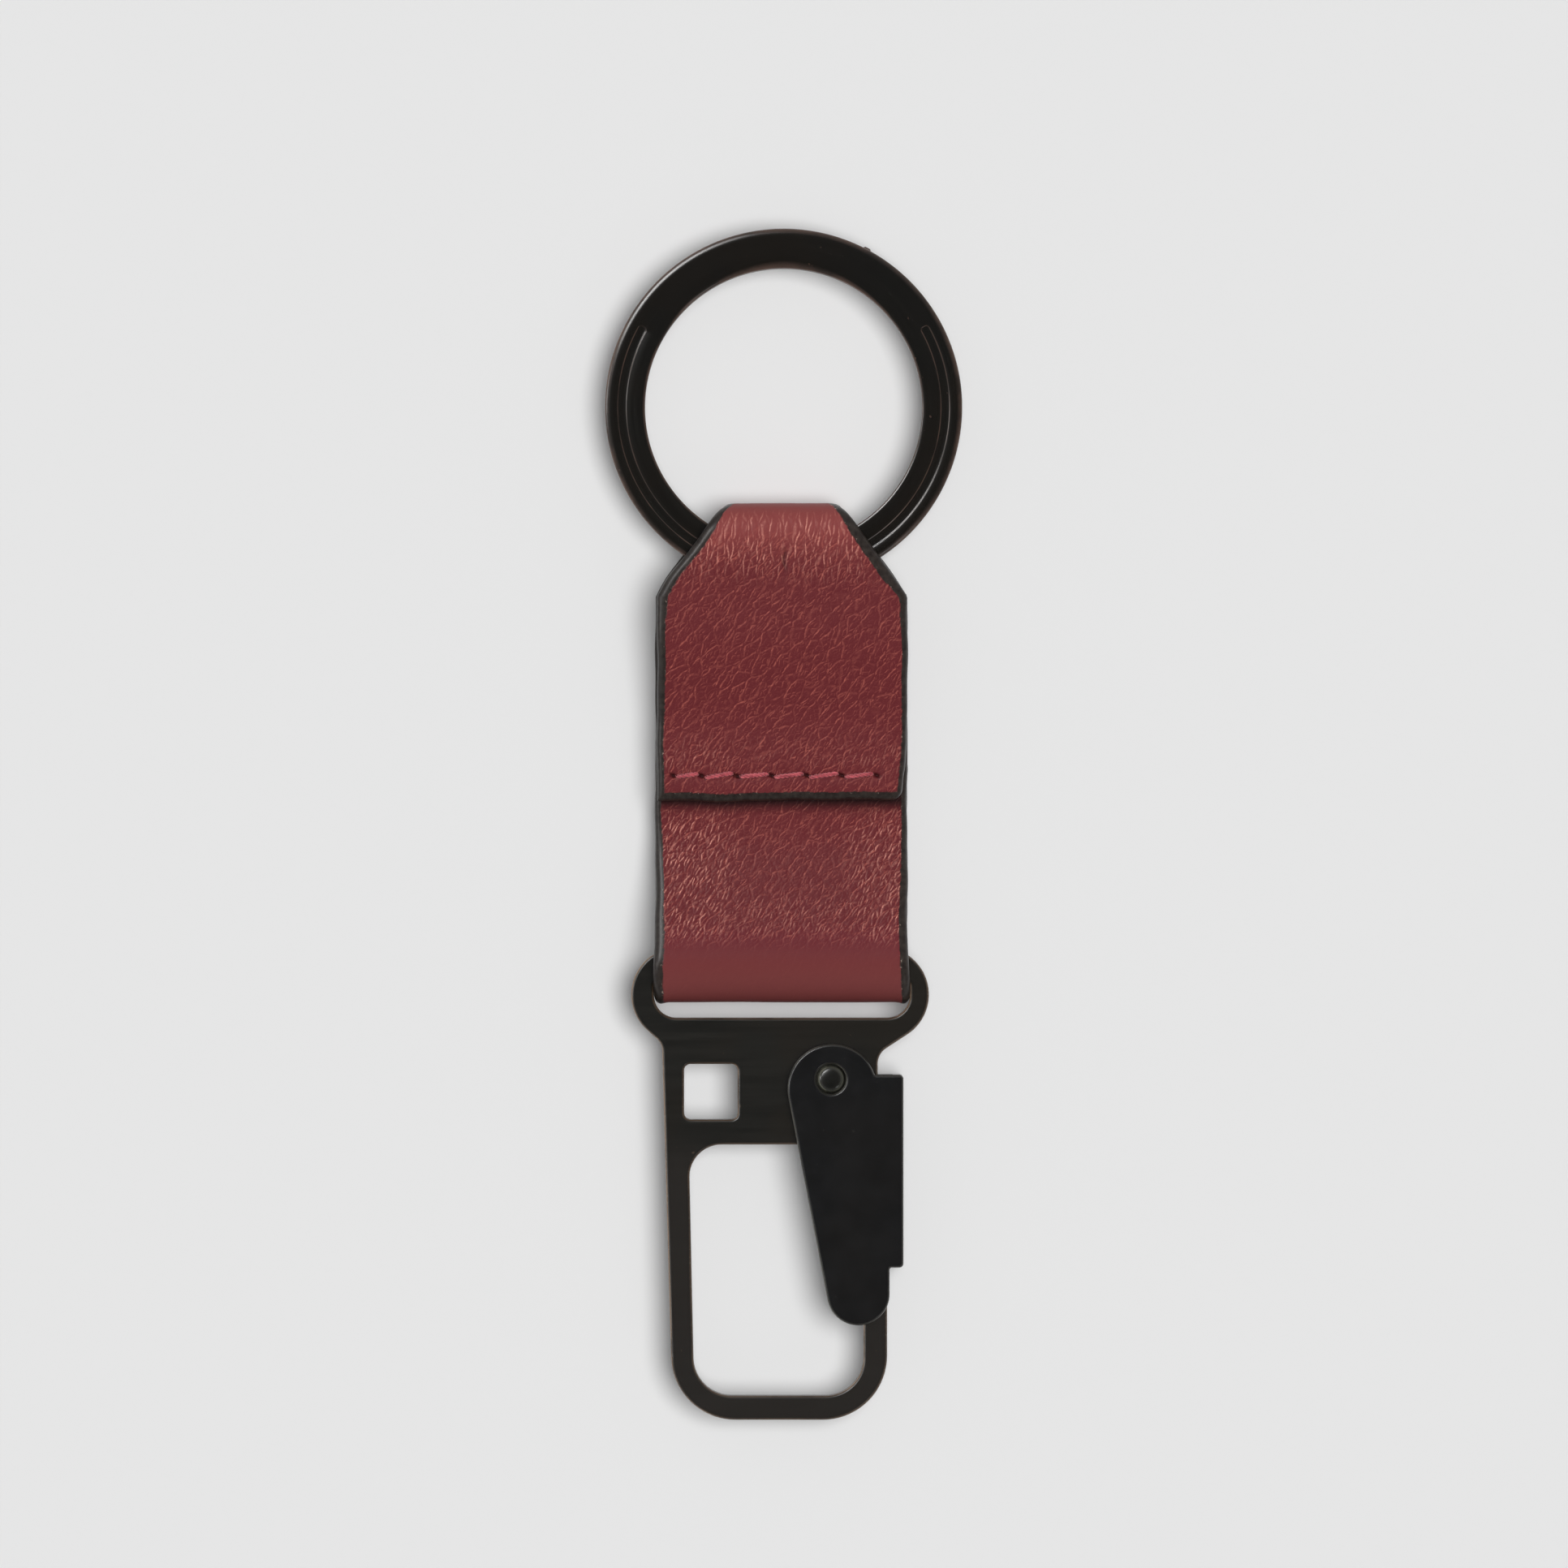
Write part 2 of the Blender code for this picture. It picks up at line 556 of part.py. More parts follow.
def plate_outline(slot_left, slot_right):
    """The hook from its lower left corner, anticlockwise: the nose, the opening, the lug and the ears."""
    foot_y = -HOOK_LENGTH + FOOT_RADIUS
    opening_foot_y = -HOOK_LENGTH + BOTTOM_RAIL + OPENING_FOOT_RADIUS
    opening_left = -FOOT_LEFT + LEFT_RAIL
    opening_top_y = -OPENING_DROP - OPENING_TOP_RADIUS
    outer_tip = math.sqrt(NOSE_TIP_REACH**2 - (FOOT_RIGHT - PIVOT_RIGHT) ** 2)
    inner_tip = math.sqrt(NOSE_TIP_REACH**2 - (NOSE_INNER - PIVOT_RIGHT) ** 2)
    tip = NOSE_CORNER_RADIUS
    lug_drop = OPENING_DROP - LUG_CORNER_RADIUS - PIVOT_DROP
    lug_x, lug_y = gate_stop_point(LUG_CORNER_RADIUS, lug_drop)
    shoulder_x = BODY_RIGHT - LUG_SHOULDER_RADIUS
    reach = SPINE_INSIDE - STOP_GAP - LUG_SHOULDER_RADIUS
    shoulder_drop = (reach - (shoulder_x - PIVOT_RIGHT) * math.cos(GATE_OPEN_ANGLE)) / math.sin(GATE_OPEN_ANGLE)
    left_ear, left_shoulder = ear_arcs(slot_left, LEFT_EAR_WALL, -1)
    right_ear, right_shoulder = ear_arcs(slot_right, RIGHT_EAR_WALL, 1)
    arcs = [
        (-FOOT_LEFT + FOOT_RADIUS, foot_y, FOOT_RADIUS, 1),
        (FOOT_RIGHT - FOOT_RADIUS, foot_y, FOOT_RADIUS, 1),
        (FOOT_RIGHT - tip, -PIVOT_DROP - outer_tip - tip, tip, 1),
        (NOSE_INNER + tip, -PIVOT_DROP - inner_tip - tip, tip, 1),
        (NOSE_INNER - OPENING_FOOT_RADIUS, opening_foot_y, OPENING_FOOT_RADIUS, -1),
        (opening_left + OPENING_FOOT_RADIUS, opening_foot_y, OPENING_FOOT_RADIUS, -1),
        (-BODY_LEFT + UPPER_LEFT_RAIL + OPENING_TOP_RADIUS, opening_top_y, OPENING_TOP_RADIUS, -1),
        (lug_x, lug_y, LUG_CORNER_RADIUS, 1),
        (shoulder_x, -PIVOT_DROP - shoulder_drop, LUG_SHOULDER_RADIUS, 1),
        (BODY_RIGHT + RIGHT_NECK_RADIUS, -RIGHT_NECK_DROP, RIGHT_NECK_RADIUS, -1),
        right_ear,
        right_shoulder,
        left_shoulder,
        left_ear,
        (-BODY_LEFT - LEFT_NECK_RADIUS, -LEFT_NECK_DROP, LEFT_NECK_RADIUS, -1),
    ]
    return belt(arcs)


def add_hook_plate(bar, pivot, look):
    slot_left = STRAP_OFFSET - HALF_STRAP - SLOT_CLEARANCE
    slot_right = STRAP_OFFSET + HALF_STRAP + SLOT_CLEARANCE
    slot = rounded_box(
        slot_left, slot_right, -SLOT_DEPTH, -BAR_WIDTH / 2, SLOT_LOWER_RADIUS, SLOT_UPPER_RADIUS
    )
    square = rounded_box(
        -SQUARE_LEFT,
        SQUARE_WIDTH - SQUARE_LEFT,
        -SQUARE_DROP - SQUARE_HEIGHT,
        -SQUARE_DROP,
        SQUARE_RADIUS,
        SQUARE_RADIUS,
    )
    loops = [plate_outline(slot_left, slot_right), slot, square]
    plate = add_piece(
        "hook_plate", flat_mesh("hook_plate", loops, -HALF_PLATE, HALF_PLATE, PLATE_EDGE), bar, look
    )
    seat = [circle_loop(0, 0, PIN_RADIUS + PIN_SEAT_GAP, PIN_SIDES)]
    under = -HALF_PLATE - OVERRUN
    seat_mesh = flat_mesh("pin_seat", seat, under, HALF_PLATE + OVERRUN)
    combine(plate, add_cutter("pin_seat", seat_mesh, pivot))
    round_mesh = flat_mesh("spring_pocket", [circle_loop(0, 0, POCKET_RADIUS, PIN_SIDES)], under, POCKET_DEPTH - HALF_PLATE)
    combine(plate, add_cutter("spring_pocket", round_mesh, pivot))
    line = spring_line()
    (x0, y0, _), (x1, y1, _) = line[-2], line[-1]
    leg = [belt([(x0, y0, POCKET_LEG_RADIUS, 1), (x1, y1, POCKET_LEG_RADIUS, 1)])]
    leg_mesh = flat_mesh("fixed_leg_slot", leg, under, POCKET_DEPTH - HALF_PLATE)
    combine(plate, add_cutter("fixed_leg_slot", leg_mesh, pivot))
    low = PIVOT_DROP - OPENING_DROP - OVERRUN
    relief = [(-RELIEF_LEFT, low), (SPINE_RIGHT, low), (SPINE_RIGHT, RELIEF_RISE), (-RELIEF_LEFT, RELIEF_RISE)]
    relief_mesh = flat_mesh("leg_relief", [relief], under, RELIEF_DEPTH - HALF_PLATE)
    combine(plate, add_cutter("leg_relief", relief_mesh, pivot))


def gate_outline():
    foot_side = CHEEK_FOOT_RIGHT + CHEEK_FOOT_RADIUS
    corner = SPINE_CORNER_RADIUS
    notch_y = SPINE_TOP + NOTCH_RADIUS
    reach = CHEEK_TOP_RADIUS + NOTCH_RADIUS
    notch_x = CHEEK_TOP_RIGHT + math.sqrt(reach**2 - (notch_y + CHEEK_TOP_DROP) ** 2)
    arcs = [
        (CHEEK_FOOT_RIGHT, -CHEEK_FOOT_DROP, CHEEK_FOOT_RADIUS, 1),
        (foot_side + NOTCH_RADIUS, -SPINE_BOTTOM - NOTCH_RADIUS, NOTCH_RADIUS, -1),
        (SPINE_RIGHT - corner, -SPINE_BOTTOM + corner, corner, 1),
        (SPINE_RIGHT - corner, SPINE_TOP - corner, corner, 1),
        (notch_x, notch_y, NOTCH_RADIUS, -1),
        (CHEEK_TOP_RIGHT, -CHEEK_TOP_DROP, CHEEK_TOP_RADIUS, 1),
    ]
    return belt(arcs)


def add_gate(pivot, look):
    """A block with the cheeks' outline, hollowed between the cheeks, with its tab put back."""
    block = flat_mesh("gate", [gate_outline()], -CHEEK_OUTSIDE, CHEEK_OUTSIDE, GATE_EDGE)
    gate = add_piece("gate", block, pivot, look)
    left = -CHEEK_TOP_RADIUS - OVERRUN
    low = -CHEEK_FOOT_DROP - CHEEK_FOOT_RADIUS - OVERRUN
    high = CHEEK_TOP_RADIUS + OVERRUN
    hollow = [(left, low), (SPINE_INSIDE, low), (SPINE_INSIDE, high), (left, high)]
    hollow_mesh = flat_mesh("between_cheeks", [hollow], -CHEEK_INSIDE, CHEEK_INSIDE)
    combine(gate, add_cutter("between_cheeks", hollow_mesh, pivot))
    tab_right = NOSE_INNER - PIVOT_RIGHT - TAB_GAP
    tab = rounded_box(
        tab_right - TAB_WIDTH, tab_right, -TAB_DROP - TAB_LENGTH, -TAB_DROP, GATE_EDGE / 2, GATE_EDGE / 2
    )
    tab_mesh = flat_mesh("stop_tab", [tab], -CHEEK_INSIDE - GATE_SHEET / 2, CHEEK_INSIDE - TAB_GAP)
    combine(gate, add_cutter("stop_tab", tab_mesh, pivot), "UNION")
    hole = [circle_loop(0, 0, PIN_HOLE_RADIUS, PIN_SIDES)]
    hole_mesh = flat_mesh("cheek_holes", hole, -CHEEK_OUTSIDE - OVERRUN, CHEEK_OUTSIDE + OVERRUN)
    combine(gate, add_cutter("cheek_holes", hole_mesh, pivot))


def add_pivot_pin(pivot, look):
    """Turned from a profile that runs down its outer side, from one domed end to the other."""
    shoulder = CHEEK_OUTSIDE
    dome = (PIN_RADIUS**2 + PIN_DOME**2) / (2 * PIN_DOME)
    half_angle = math.asin(PIN_RADIUS / dome)
    arc = [half_angle * k / 4 for k in range(5)]
    top = [(dome * math.sin(a), shoulder + PIN_DOME - dome * (1 - math.cos(a))) for a in arc]
    profile = top + [(x, -z) for x, z in reversed(top)]
    mesh = bpy.data.meshes.new("pivot_pin")
    line = bmesh.new()
    verts = [line.verts.new((x, 0, z)) for x, z in profile]
    for a, b in zip(verts, verts[1:]):
        line.edges.new((a, b))
    line.to_mesh(mesh)
    line.free()
    pin = add_piece("pivot_pin", mesh, pivot, look)
    turned = pin.modifiers.new("turned", "SCREW")
    turned.steps = PIN_SIDES
    turned.render_steps = PIN_SIDES
    turned.use_merge_vertices = True
    turned.merge_threshold = WELD
    turned.use_smooth_shade = True


def spring_line():
    """From the moving leg's foot on the gate's spine, round the pin, to the fixed leg's end."""
    foot_x = SPINE_INSIDE - SPRING_CLEARANCE - SPRING_WIRE_RADIUS
    foot_angle = math.atan2(-SPRING_FOOT_DROP, foot_x)
    first = foot_angle + math.acos(SPRING_RADIUS / math.hypot(foot_x, SPRING_FOOT_DROP))
    deep = POCKET_DEPTH - HALF_PLATE - SPRING_CLEARANCE - SPRING_WIRE_RADIUS
    shallow = deep - SPRING_PITCH * SPRING_TURNS
    steps = round(SPRING_POINTS_A_TURN * SPRING_TURNS)
    line = [(foot_x, -SPRING_FOOT_DROP, shallow)]
    for k in range(steps + 1):
        angle = first + math.tau * SPRING_TURNS * k / steps
        height = shallow + (deep - shallow) * k / steps
        line.append((SPRING_RADIUS * math.cos(angle), SPRING_RADIUS * math.sin(angle), height))
    end_x = line[-1][0] - SPRING_FIXED_LEG * math.sin(angle)
    end_y = line[-1][1] + SPRING_FIXED_LEG * math.cos(angle)
    line.append((end_x, end_y, deep))
    return line


def add_torsion_spring(pivot, look):
    add_piece("torsion_spring", wire_mesh("torsion_spring", spring_line(), SPRING_WIRE_RADIUS, 1), pivot, look)


parts, cutters = start()
leather = material("burgundy_leather", (0.165, 0.028, 0.030), 0.55)
thread = material("red_thread", (0.36, 0.055, 0.075), 0.6)
ring_steel = material("black_ring_steel", (0.012, 0.011, 0.010), 0.32, 0.6)
plate_steel = material("black_plate_steel", (0.020, 0.019, 0.016), 0.42, 0.5)
gate_steel = material("black_gate_steel", (0.012, 0.012, 0.013), 0.45, 0.5)
pin_steel = material("dark_pin_steel", (0.045, 0.048, 0.045), 0.35, 0.7)
spring_steel = material("spring_steel", (0.25, 0.25, 0.25), 0.3, 1.0)

strap_root = axis_frame("strap_root", None, (0, BAR_Y, 0))
neck_axis = axis_frame("neck_axis", strap_root, (0, (NECK_TOP + NECK_BOTTOM) / 2, RING_Z))
ring_axis = axis_frame("ring_axis", strap_root, (0, RING_Y, RING_Z))
bar_axis = axis_frame("bar_axis", strap_root, (0, 0, BAR_Z))
pin_axis = axis_frame("pin_axis", bar_axis, (PIVOT_RIGHT, -PIVOT_DROP, 0))

strap_piece, flap_piece = add_leather(strap_root, neck_axis, leather)
cut_seam(strap_piece, flap_piece, strap_root)
add_threads(strap_root, thread)
add_key_ring(ring_axis, ring_steel)
add_hook_plate(bar_axis, pin_axis, plate_steel)
add_gate(pin_axis, gate_steel)
add_pivot_pin(pin_axis, pin_steel)
add_torsion_spring(pin_axis, spring_steel)
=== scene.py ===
"""The leather key fob, dressed: pebbled leather with painted edges, a sewn seam, black ring and hook.

Sizes are in millimetres. The fob lies on z = 0 with its front face up and its key ring towards
+Y. On the strip and the hook, places are measured from the axis of the hook's bar; on the gate
and its spring, from the axis of the gate's pin.
"""

import json
from math import acos, asin, atan2, ceil, cos, degrees, dist, hypot, pi, radians, sin, sqrt, tau

import bmesh
import bpy
import numpy as np
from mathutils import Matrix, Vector

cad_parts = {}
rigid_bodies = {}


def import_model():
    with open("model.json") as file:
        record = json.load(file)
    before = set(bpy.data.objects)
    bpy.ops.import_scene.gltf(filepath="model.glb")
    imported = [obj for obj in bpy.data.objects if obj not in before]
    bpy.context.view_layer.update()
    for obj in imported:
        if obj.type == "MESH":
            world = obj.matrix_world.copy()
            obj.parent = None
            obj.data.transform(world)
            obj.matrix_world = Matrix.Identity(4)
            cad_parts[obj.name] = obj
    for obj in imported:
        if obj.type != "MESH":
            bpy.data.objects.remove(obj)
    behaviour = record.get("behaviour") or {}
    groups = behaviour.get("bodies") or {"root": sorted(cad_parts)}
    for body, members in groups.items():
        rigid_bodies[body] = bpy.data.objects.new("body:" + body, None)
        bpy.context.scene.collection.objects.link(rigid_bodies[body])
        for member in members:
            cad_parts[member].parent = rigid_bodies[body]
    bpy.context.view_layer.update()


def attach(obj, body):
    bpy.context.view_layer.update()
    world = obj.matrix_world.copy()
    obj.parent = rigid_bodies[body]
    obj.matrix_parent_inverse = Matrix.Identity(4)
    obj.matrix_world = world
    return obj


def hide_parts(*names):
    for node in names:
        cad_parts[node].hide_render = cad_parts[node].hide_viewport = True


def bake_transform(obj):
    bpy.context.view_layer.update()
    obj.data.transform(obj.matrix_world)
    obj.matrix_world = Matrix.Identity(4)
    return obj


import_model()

MM = 0.001

# Axes of the hook's bar, the key ring and the gate's pin
BAR_Y = -11.9
BAR_Z = 3.06
RING_Y = 35.0
RING_Z = 2.8
PIN_X = 3.96
PIN_Y = -21.37

# Leather strip: its middle line, its edges and its flexing stretch
LEATHER = 1.4
STRAP_X = -0.15
STRAP_HALF = 10.45
STRAP_LENGTH = 36.06  # from the bar's axis to the centre of the upper fold
WAIST_HALF = 5.25  # at the upper fold
TAPER_START = 0.8  # along the strip, from the top of the upper fold
TAPER_END = 8.35
BAR_FOLD_RADIUS = 2.36
RING_FOLD_RADIUS = 2.1
QUARTER_FOLD = 3.7  # along the lower fold, from its lowest point to the straight back
BEND_RADIUS = 14.0
SHOULDER_END = 28.5  # where the front layer starts to come down to the flap
SHOULDER_TOP = 4.95
FLAP_END = 13.9
FLAP_FLAT_END = 19.5
FLAP_Z = 3.7
FLAP_SLANT = 0.55  # the flap's right side draws in by this much at its end
FLAP_SLANT_LENGTH = 5.0
FLAP_CORNER = 0.8
TUCK_END = 20.9
TUCK_FLAT_START = 12.5
TUCK_Z = 2.2
DIMPLE_Y = 22.2
EDGE_ROUND = 0.72  # how far in from an edge the face starts to round over
EDGE_POWER = 2.3
FLAP_END_Y = BAR_Y + FLAP_END

# Leather strip: the spacing of its mesh
ROW_STEP = 0.25
SEAM_ROW_STEP = 0.09
END_STEPS = [0.02, 0.07, 0.15, 0.25, 0.38, 0.52, 0.66, 0.8]
END_REACH = 0.85
RIM_STEPS = np.array([0, 0.02, 0.07, 0.15, 0.26, 0.4, 0.56, 0.74, 0.95, 1.2])
INNER_COLUMNS = 100

# Seam
SEAM_Y = 4.1
FIRST_HOLE = -9.31
FIRST_STITCH = 2.38
STITCH_PITCH = 2.94
HOLES = [FIRST_HOLE] + [FIRST_HOLE + FIRST_STITCH + STITCH_PITCH * k for k in range(6)]
FLAP_TOP = 4.33  # the level of the leather's face along each row of stitches
BACK_FACE = 0.42
STRAND_RADIUS = 0.098
STRAND_OFFSET = 0.1  # from the thread's middle line
STRAND_PITCH = 1.15
STRANDS = 3

# Key ring: one flat wire, in degrees from the start of its step
RING_OUT = 15.0
RING_IN = 11.64
RING_WIRE = 1.1
RING_LEVEL = 0.6  # of each turn's middle, above or below the ring's
RING_START = 32.0
RING_FINISH = 718.0
RING_STEP = 30.0
RING_BASE = -90 - RING_STEP / 2
OUTER_BEVEL = [(0.0, 0.36), (0.025, 0.25), (0.09, 0.17), (0.16, 0.127), (0.26, 0.085), (0.37, 0.04)]
OUTER_BEVEL += [(0.48, 0.012), (0.62, 0.0)]
INNER_BEVEL = [(0.5, 0.0), (0.42, 0.014), (0.28, 0.065), (0.15, 0.118), (0.07, 0.17), (0.01, 0.27)]
BEVEL_LIMIT = 12.4
BEVEL_TURNS = [-180, -60, -25, 0, 25, 42, 60, 180]  # from the ring's top
BEVEL_WIDTHS = [0.5, 0.6, 1.0, 1.6, 1.05, 0.6, 0.5, 0.5]
GROOVE_RADIUS = 13.57
GROOVE_HALF = 0.36
GROOVE_WALL = 0.15
GROOVE_FLOOR = 0.15  # the section's points beside the groove's middle
GROOVE_DEPTH = 0.085
GROOVE_OPEN = 61.4  # degrees from the top to each end of the groove
BURR_ANGLE = (62.2 - RING_BASE) % 360
BURR_ROOT = 14.0
BURR_SLOPE = 0.17

# Hook plate
HALF_PLATE = 1.2
PLATE_EDGE = 0.27
HOOK_LENGTH = 38.1
BAR_WIDTH = 2.3
SLOT_LEFT = -10.9
SLOT_RIGHT = 10.6
SLOT_DEPTH = 4.36
SLOT_RADII = (1.9, 0.6)  # lower and upper
LEFT_EAR_WALL = 1.9
RIGHT_EAR_WALL = 1.6
EAR_RADIUS = 4.0
EAR_SHOULDER_RADIUS = 2.0
EAR_SHOULDER_ANGLE = radians(51)
LEFT_NECK_DROP = 7.1
LEFT_NECK_RADIUS = 1.3
RIGHT_NECK_DROP = 8.24
RIGHT_NECK_RADIUS = 1.6
BODY_LEFT = 10.2
BODY_RIGHT = 7.9
FOOT_LEFT = 9.45
FOOT_RIGHT = 8.69
FOOT_RADIUS = 5.4
LEFT_RAIL = 1.88
UPPER_LEFT_RAIL = 2.3
BOTTOM_RAIL = 2.04
NOSE_INNER = FOOT_RIGHT - 1.99
NOSE_CORNER_RADIUS = 0.4
OPENING_DROP = 15.0
OPENING_FOOT_RADIUS = 3.2
OPENING_TOP_RADIUS = 2.7
LUG_RADIUS = 0.4
SHOULDER_RADIUS = 0.6  # between the lug and the body's right side
SQUARE_LEFT = 8.36
SQUARE_WEB = 2.12  # between the square hole and the hook's opening
SQUARE_WIDTH = 4.5
SQUARE_HEIGHT = 4.64
SQUARE_RADIUS = 0.55

# Gate and pin
PIVOT_DROP = BAR_Y - PIN_Y
GATE_OPEN = radians(26)
GATE_EDGE = 0.26
CHEEK_INSIDE = 1.35
CHEEK_OUTSIDE = 2.25
HOLLOW = (-6.0, -22.0, 4.0)  # left, low and high, past the cheeks' outline
CHEEK_TOP = (0.11, -0.82, 3.75)  # centre and radius
CHEEK_FOOT = (2.3, -18.04, 2.63)
SPINE_RIGHT = 6.09
SPINE_INSIDE = 5.19
SPINE_TOP = 0.34
SPINE_BOTTOM = 15.83
SPINE_CORNER_RADIUS = 0.35
NOTCH_RADIUS = 0.2
STOP_GAP = 0.06
TIP_REACH = hypot(SPINE_RIGHT, SPINE_BOTTOM) + 0.1  # of the nose, just clear of the spine
TAB_RIGHT = NOSE_INNER - PIN_X - 0.1
TAB_WIDTH = 0.9
TAB_DROP = 17.3
TAB_LENGTH = 2.0
TAB_RADIUS = 0.15
TAB_LEVELS = (-1.8, 1.25)
PIN_SEAT_RADIUS = 1.21
PIN_HOLE_RADIUS = 1.26
PIN_SIDES = 48
PIN_PROFILE = [(0.0, 2.60), (0.3, 2.59), (0.55, 2.56), (0.75, 2.515), (0.9, 2.45), (1.02, 2.35)]
PIN_PROFILE += [(1.09, 2.2), (1.1, 2.0), (1.1, 1.6), (1.16, 1.45), (1.16, 1.17), (1.23, 1.1)]

# Spring and its pocket in the plate's back
SPRING_WIRE = 0.2
SPRING_RADIUS = 1.85
SPRING_TURNS = 2.25
SPRING_POINTS = 109
SPRING_FOOT = 7.0  # below the pin, on the gate's spine
SPRING_FOOT_GAP = 0.28  # from the spine's inner face to the wire's middle
SPRING_FIXED_LEG = 2.2
SPRING_DEEP = 0.02  # the fixed leg's level, from the plate's middle
SPRING_SHALLOW = -1.015  # the moving leg's level
POCKET_RADIUS = 2.4
POCKET_TOP = 0.3
POCKET_LEG_RADIUS = 0.35
RELIEF_TOP = -0.65
RELIEF_LEFT = 0.6
RELIEF_RISE = 1.0
BEYOND = 3  # how far cutters run past the plate

# Camera and light
PHOTO_WIDTH = 131.7  # of the photographed field
PHOTO_MIDDLE = (0.03, 3.37)
PHOTO_LEVEL = 3.0
LENS = 400
SENSOR = 36
BACKDROP = 0.79
WORLD_SHARE = 0.12
STRIP_SHARES = (0.05, 0.12, 0.14, 0.09)  # of the lamps that only show as reflections


# Shared helpers


def belt(arcs, closed=True, arc_step=5.0):
    """The line of tangents and arcs round circles (x, y, radius, turn), as a belt runs."""
    count = len(arcs)
    headings = []
    for i in range(count if closed else count - 1):
        x0, y0, r0, t0 = arcs[i]
        x1, y1, r1, t1 = arcs[(i + 1) % count]
        lean = (t1 * r1 - t0 * r0) / hypot(x1 - x0, y1 - y0)
        headings.append(atan2(y1 - y0, x1 - x0) - asin(max(-1.0, min(1.0, lean))))
    points = []
    for i, (x, y, radius, turn) in enumerate(arcs):
        arriving = headings[i - 1] if closed or i else headings[0]
        leaving = headings[i] if closed or i < count - 1 else headings[-1]
        sweep = ((leaving - arriving) * turn + pi / 2) % tau - pi / 2
        steps = max(4, ceil(degrees(sweep) / arc_step)) if radius else 0
        for k in range(steps + 1):
            h = arriving + turn * sweep * k / max(steps, 1)
            points.append((x + turn * radius * sin(h), y - turn * radius * cos(h)))
    return [p for i, p in enumerate(points) if not i or dist(p, points[i - 1]) > 1e-5]


def round_loop(x, y, radius, sides=64):
    turns = [tau * k / sides for k in range(sides)]
    return [(x + radius * cos(a), y + radius * sin(a)) for a in turns]


def rounded_box(left, right, low, high, low_radius, high_radius):
    lower = [(x, low + low_radius, low_radius, 1) for x in (left + low_radius, right - low_radius)]
    upper = [(x, high - high_radius, high_radius, 1) for x in (right - high_radius, left + high_radius)]
    return belt(lower + upper)


def ramp(low, high, value):
    """From 0 to 1 between two values, level at both."""
    share = np.clip((value - low) / (high - low), 0, 1)
    return share * share * (3 - 2 * share)


def bell(value, middle, width, power=2):
    """1 at the middle, falling away on both sides; a higher power has a flatter top."""
    return np.exp(-(((value - middle) / width) ** power))


def line_lengths(points):
    """The length along a line at each of its points."""
    steps = np.linalg.norm(np.diff(points, axis=0), axis=1)
    return np.concatenate([[0], np.cumsum(steps)])


def add_object(name, mesh, material=None):
    made = bpy.data.objects.new(name, mesh)
    bpy.context.scene.collection.objects.link(made)
    if material:
        made.data.materials.append(material)
    return made


def place(obj, x, y, z):
    obj.location = (x * MM, y * MM, z * MM)
    bpy.context.view_layer.update()


def finish_shell(mesh, weld=0.0, lift=0.0):
    """Welds and lifts a closed mesh where asked, turns its faces outwards and shades it smooth."""
    shell = bmesh.new()
    shell.from_mesh(mesh)
    if weld:
        bmesh.ops.remove_doubles(shell, verts=shell.verts, dist=weld)
    bmesh.ops.recalc_face_normals(shell, faces=shell.faces)
    bmesh.ops.translate(shell, verts=shell.verts, vec=(0, 0, lift))
    shell.to_mesh(mesh)
    shell.free()
    mesh.shade_smooth()
    return mesh


def shell_mesh(name, points, faces):
    """A closed mesh from points in millimetres."""
    mesh = bpy.data.meshes.new(name)
    mesh.from_pydata((np.asarray(points, float) * MM).tolist(), [], faces)
    return finish_shell(mesh)


def tube_mesh(name, *tubes):
    """Tubes through rings of points, with flat ends, in one mesh."""
    points, faces = [], []
    for rings in tubes:
        sides = len(rings[0])
        starts = range(len(points), len(points) + len(rings) * sides, sides)
        for a, b in zip(starts, starts[1:]):
            for j in range(sides):
                k = (j + 1) % sides
                faces.append((a + j, a + k, b + k, b + j))
        faces.append([starts[0] + j for j in reversed(range(sides))])
        faces.append([starts[-1] + j for j in range(sides)])
        points.extend(point for ring in rings for point in ring)
    return shell_mesh(name, points, faces)


def shown_mesh(obj):
    """The mesh that an object's curve or modifiers give."""
    bpy.context.view_layer.update()
    return bpy.data.meshes.new_from_object(obj.evaluated_get(bpy.context.evaluated_depsgraph_get()))


def plate_mesh(name, loops, low, high, edge=0.0):
    """A flat stamping between two heights, whose rims are rounded by edge."""
    curve = bpy.data.curves.new(name, "CURVE")
    curve.dimensions = "2D"
    curve.fill_mode = "BOTH"
    curve.extrude = ((high - low) / 2 - edge) * MM
    curve.bevel_depth = edge * MM
    curve.bevel_resolution = 4
    curve.offset = -edge * MM
    for loop in loops:
        spline = curve.splines.new("POLY")
        spline.points.add(len(loop) - 1)
        for point, (x, y) in zip(spline.points, loop):
            point.co = (x * MM, y * MM, 0, 1)
        spline.use_cyclic_u = True
    holder = add_object(name, curve)
    mesh = shown_mesh(holder)
    bpy.data.objects.remove(holder)
    return finish_shell(mesh, weld=1e-7, lift=(low + high) / 2 * MM)


def cut(obj, name, mesh, operation="DIFFERENCE"):
    """A Boolean whose result is applied, so no helper stays in the scene."""
    tool = add_object(name, mesh)
    tool.location = obj.location
    step = obj.modifiers.new(name, "BOOLEAN")
    step.operation = operation
    step.solver = "EXACT"
    step.object = tool
    made = shown_mesh(obj)
    obj.modifiers.remove(step)
    obj.data = made
    bpy.data.objects.remove(tool)


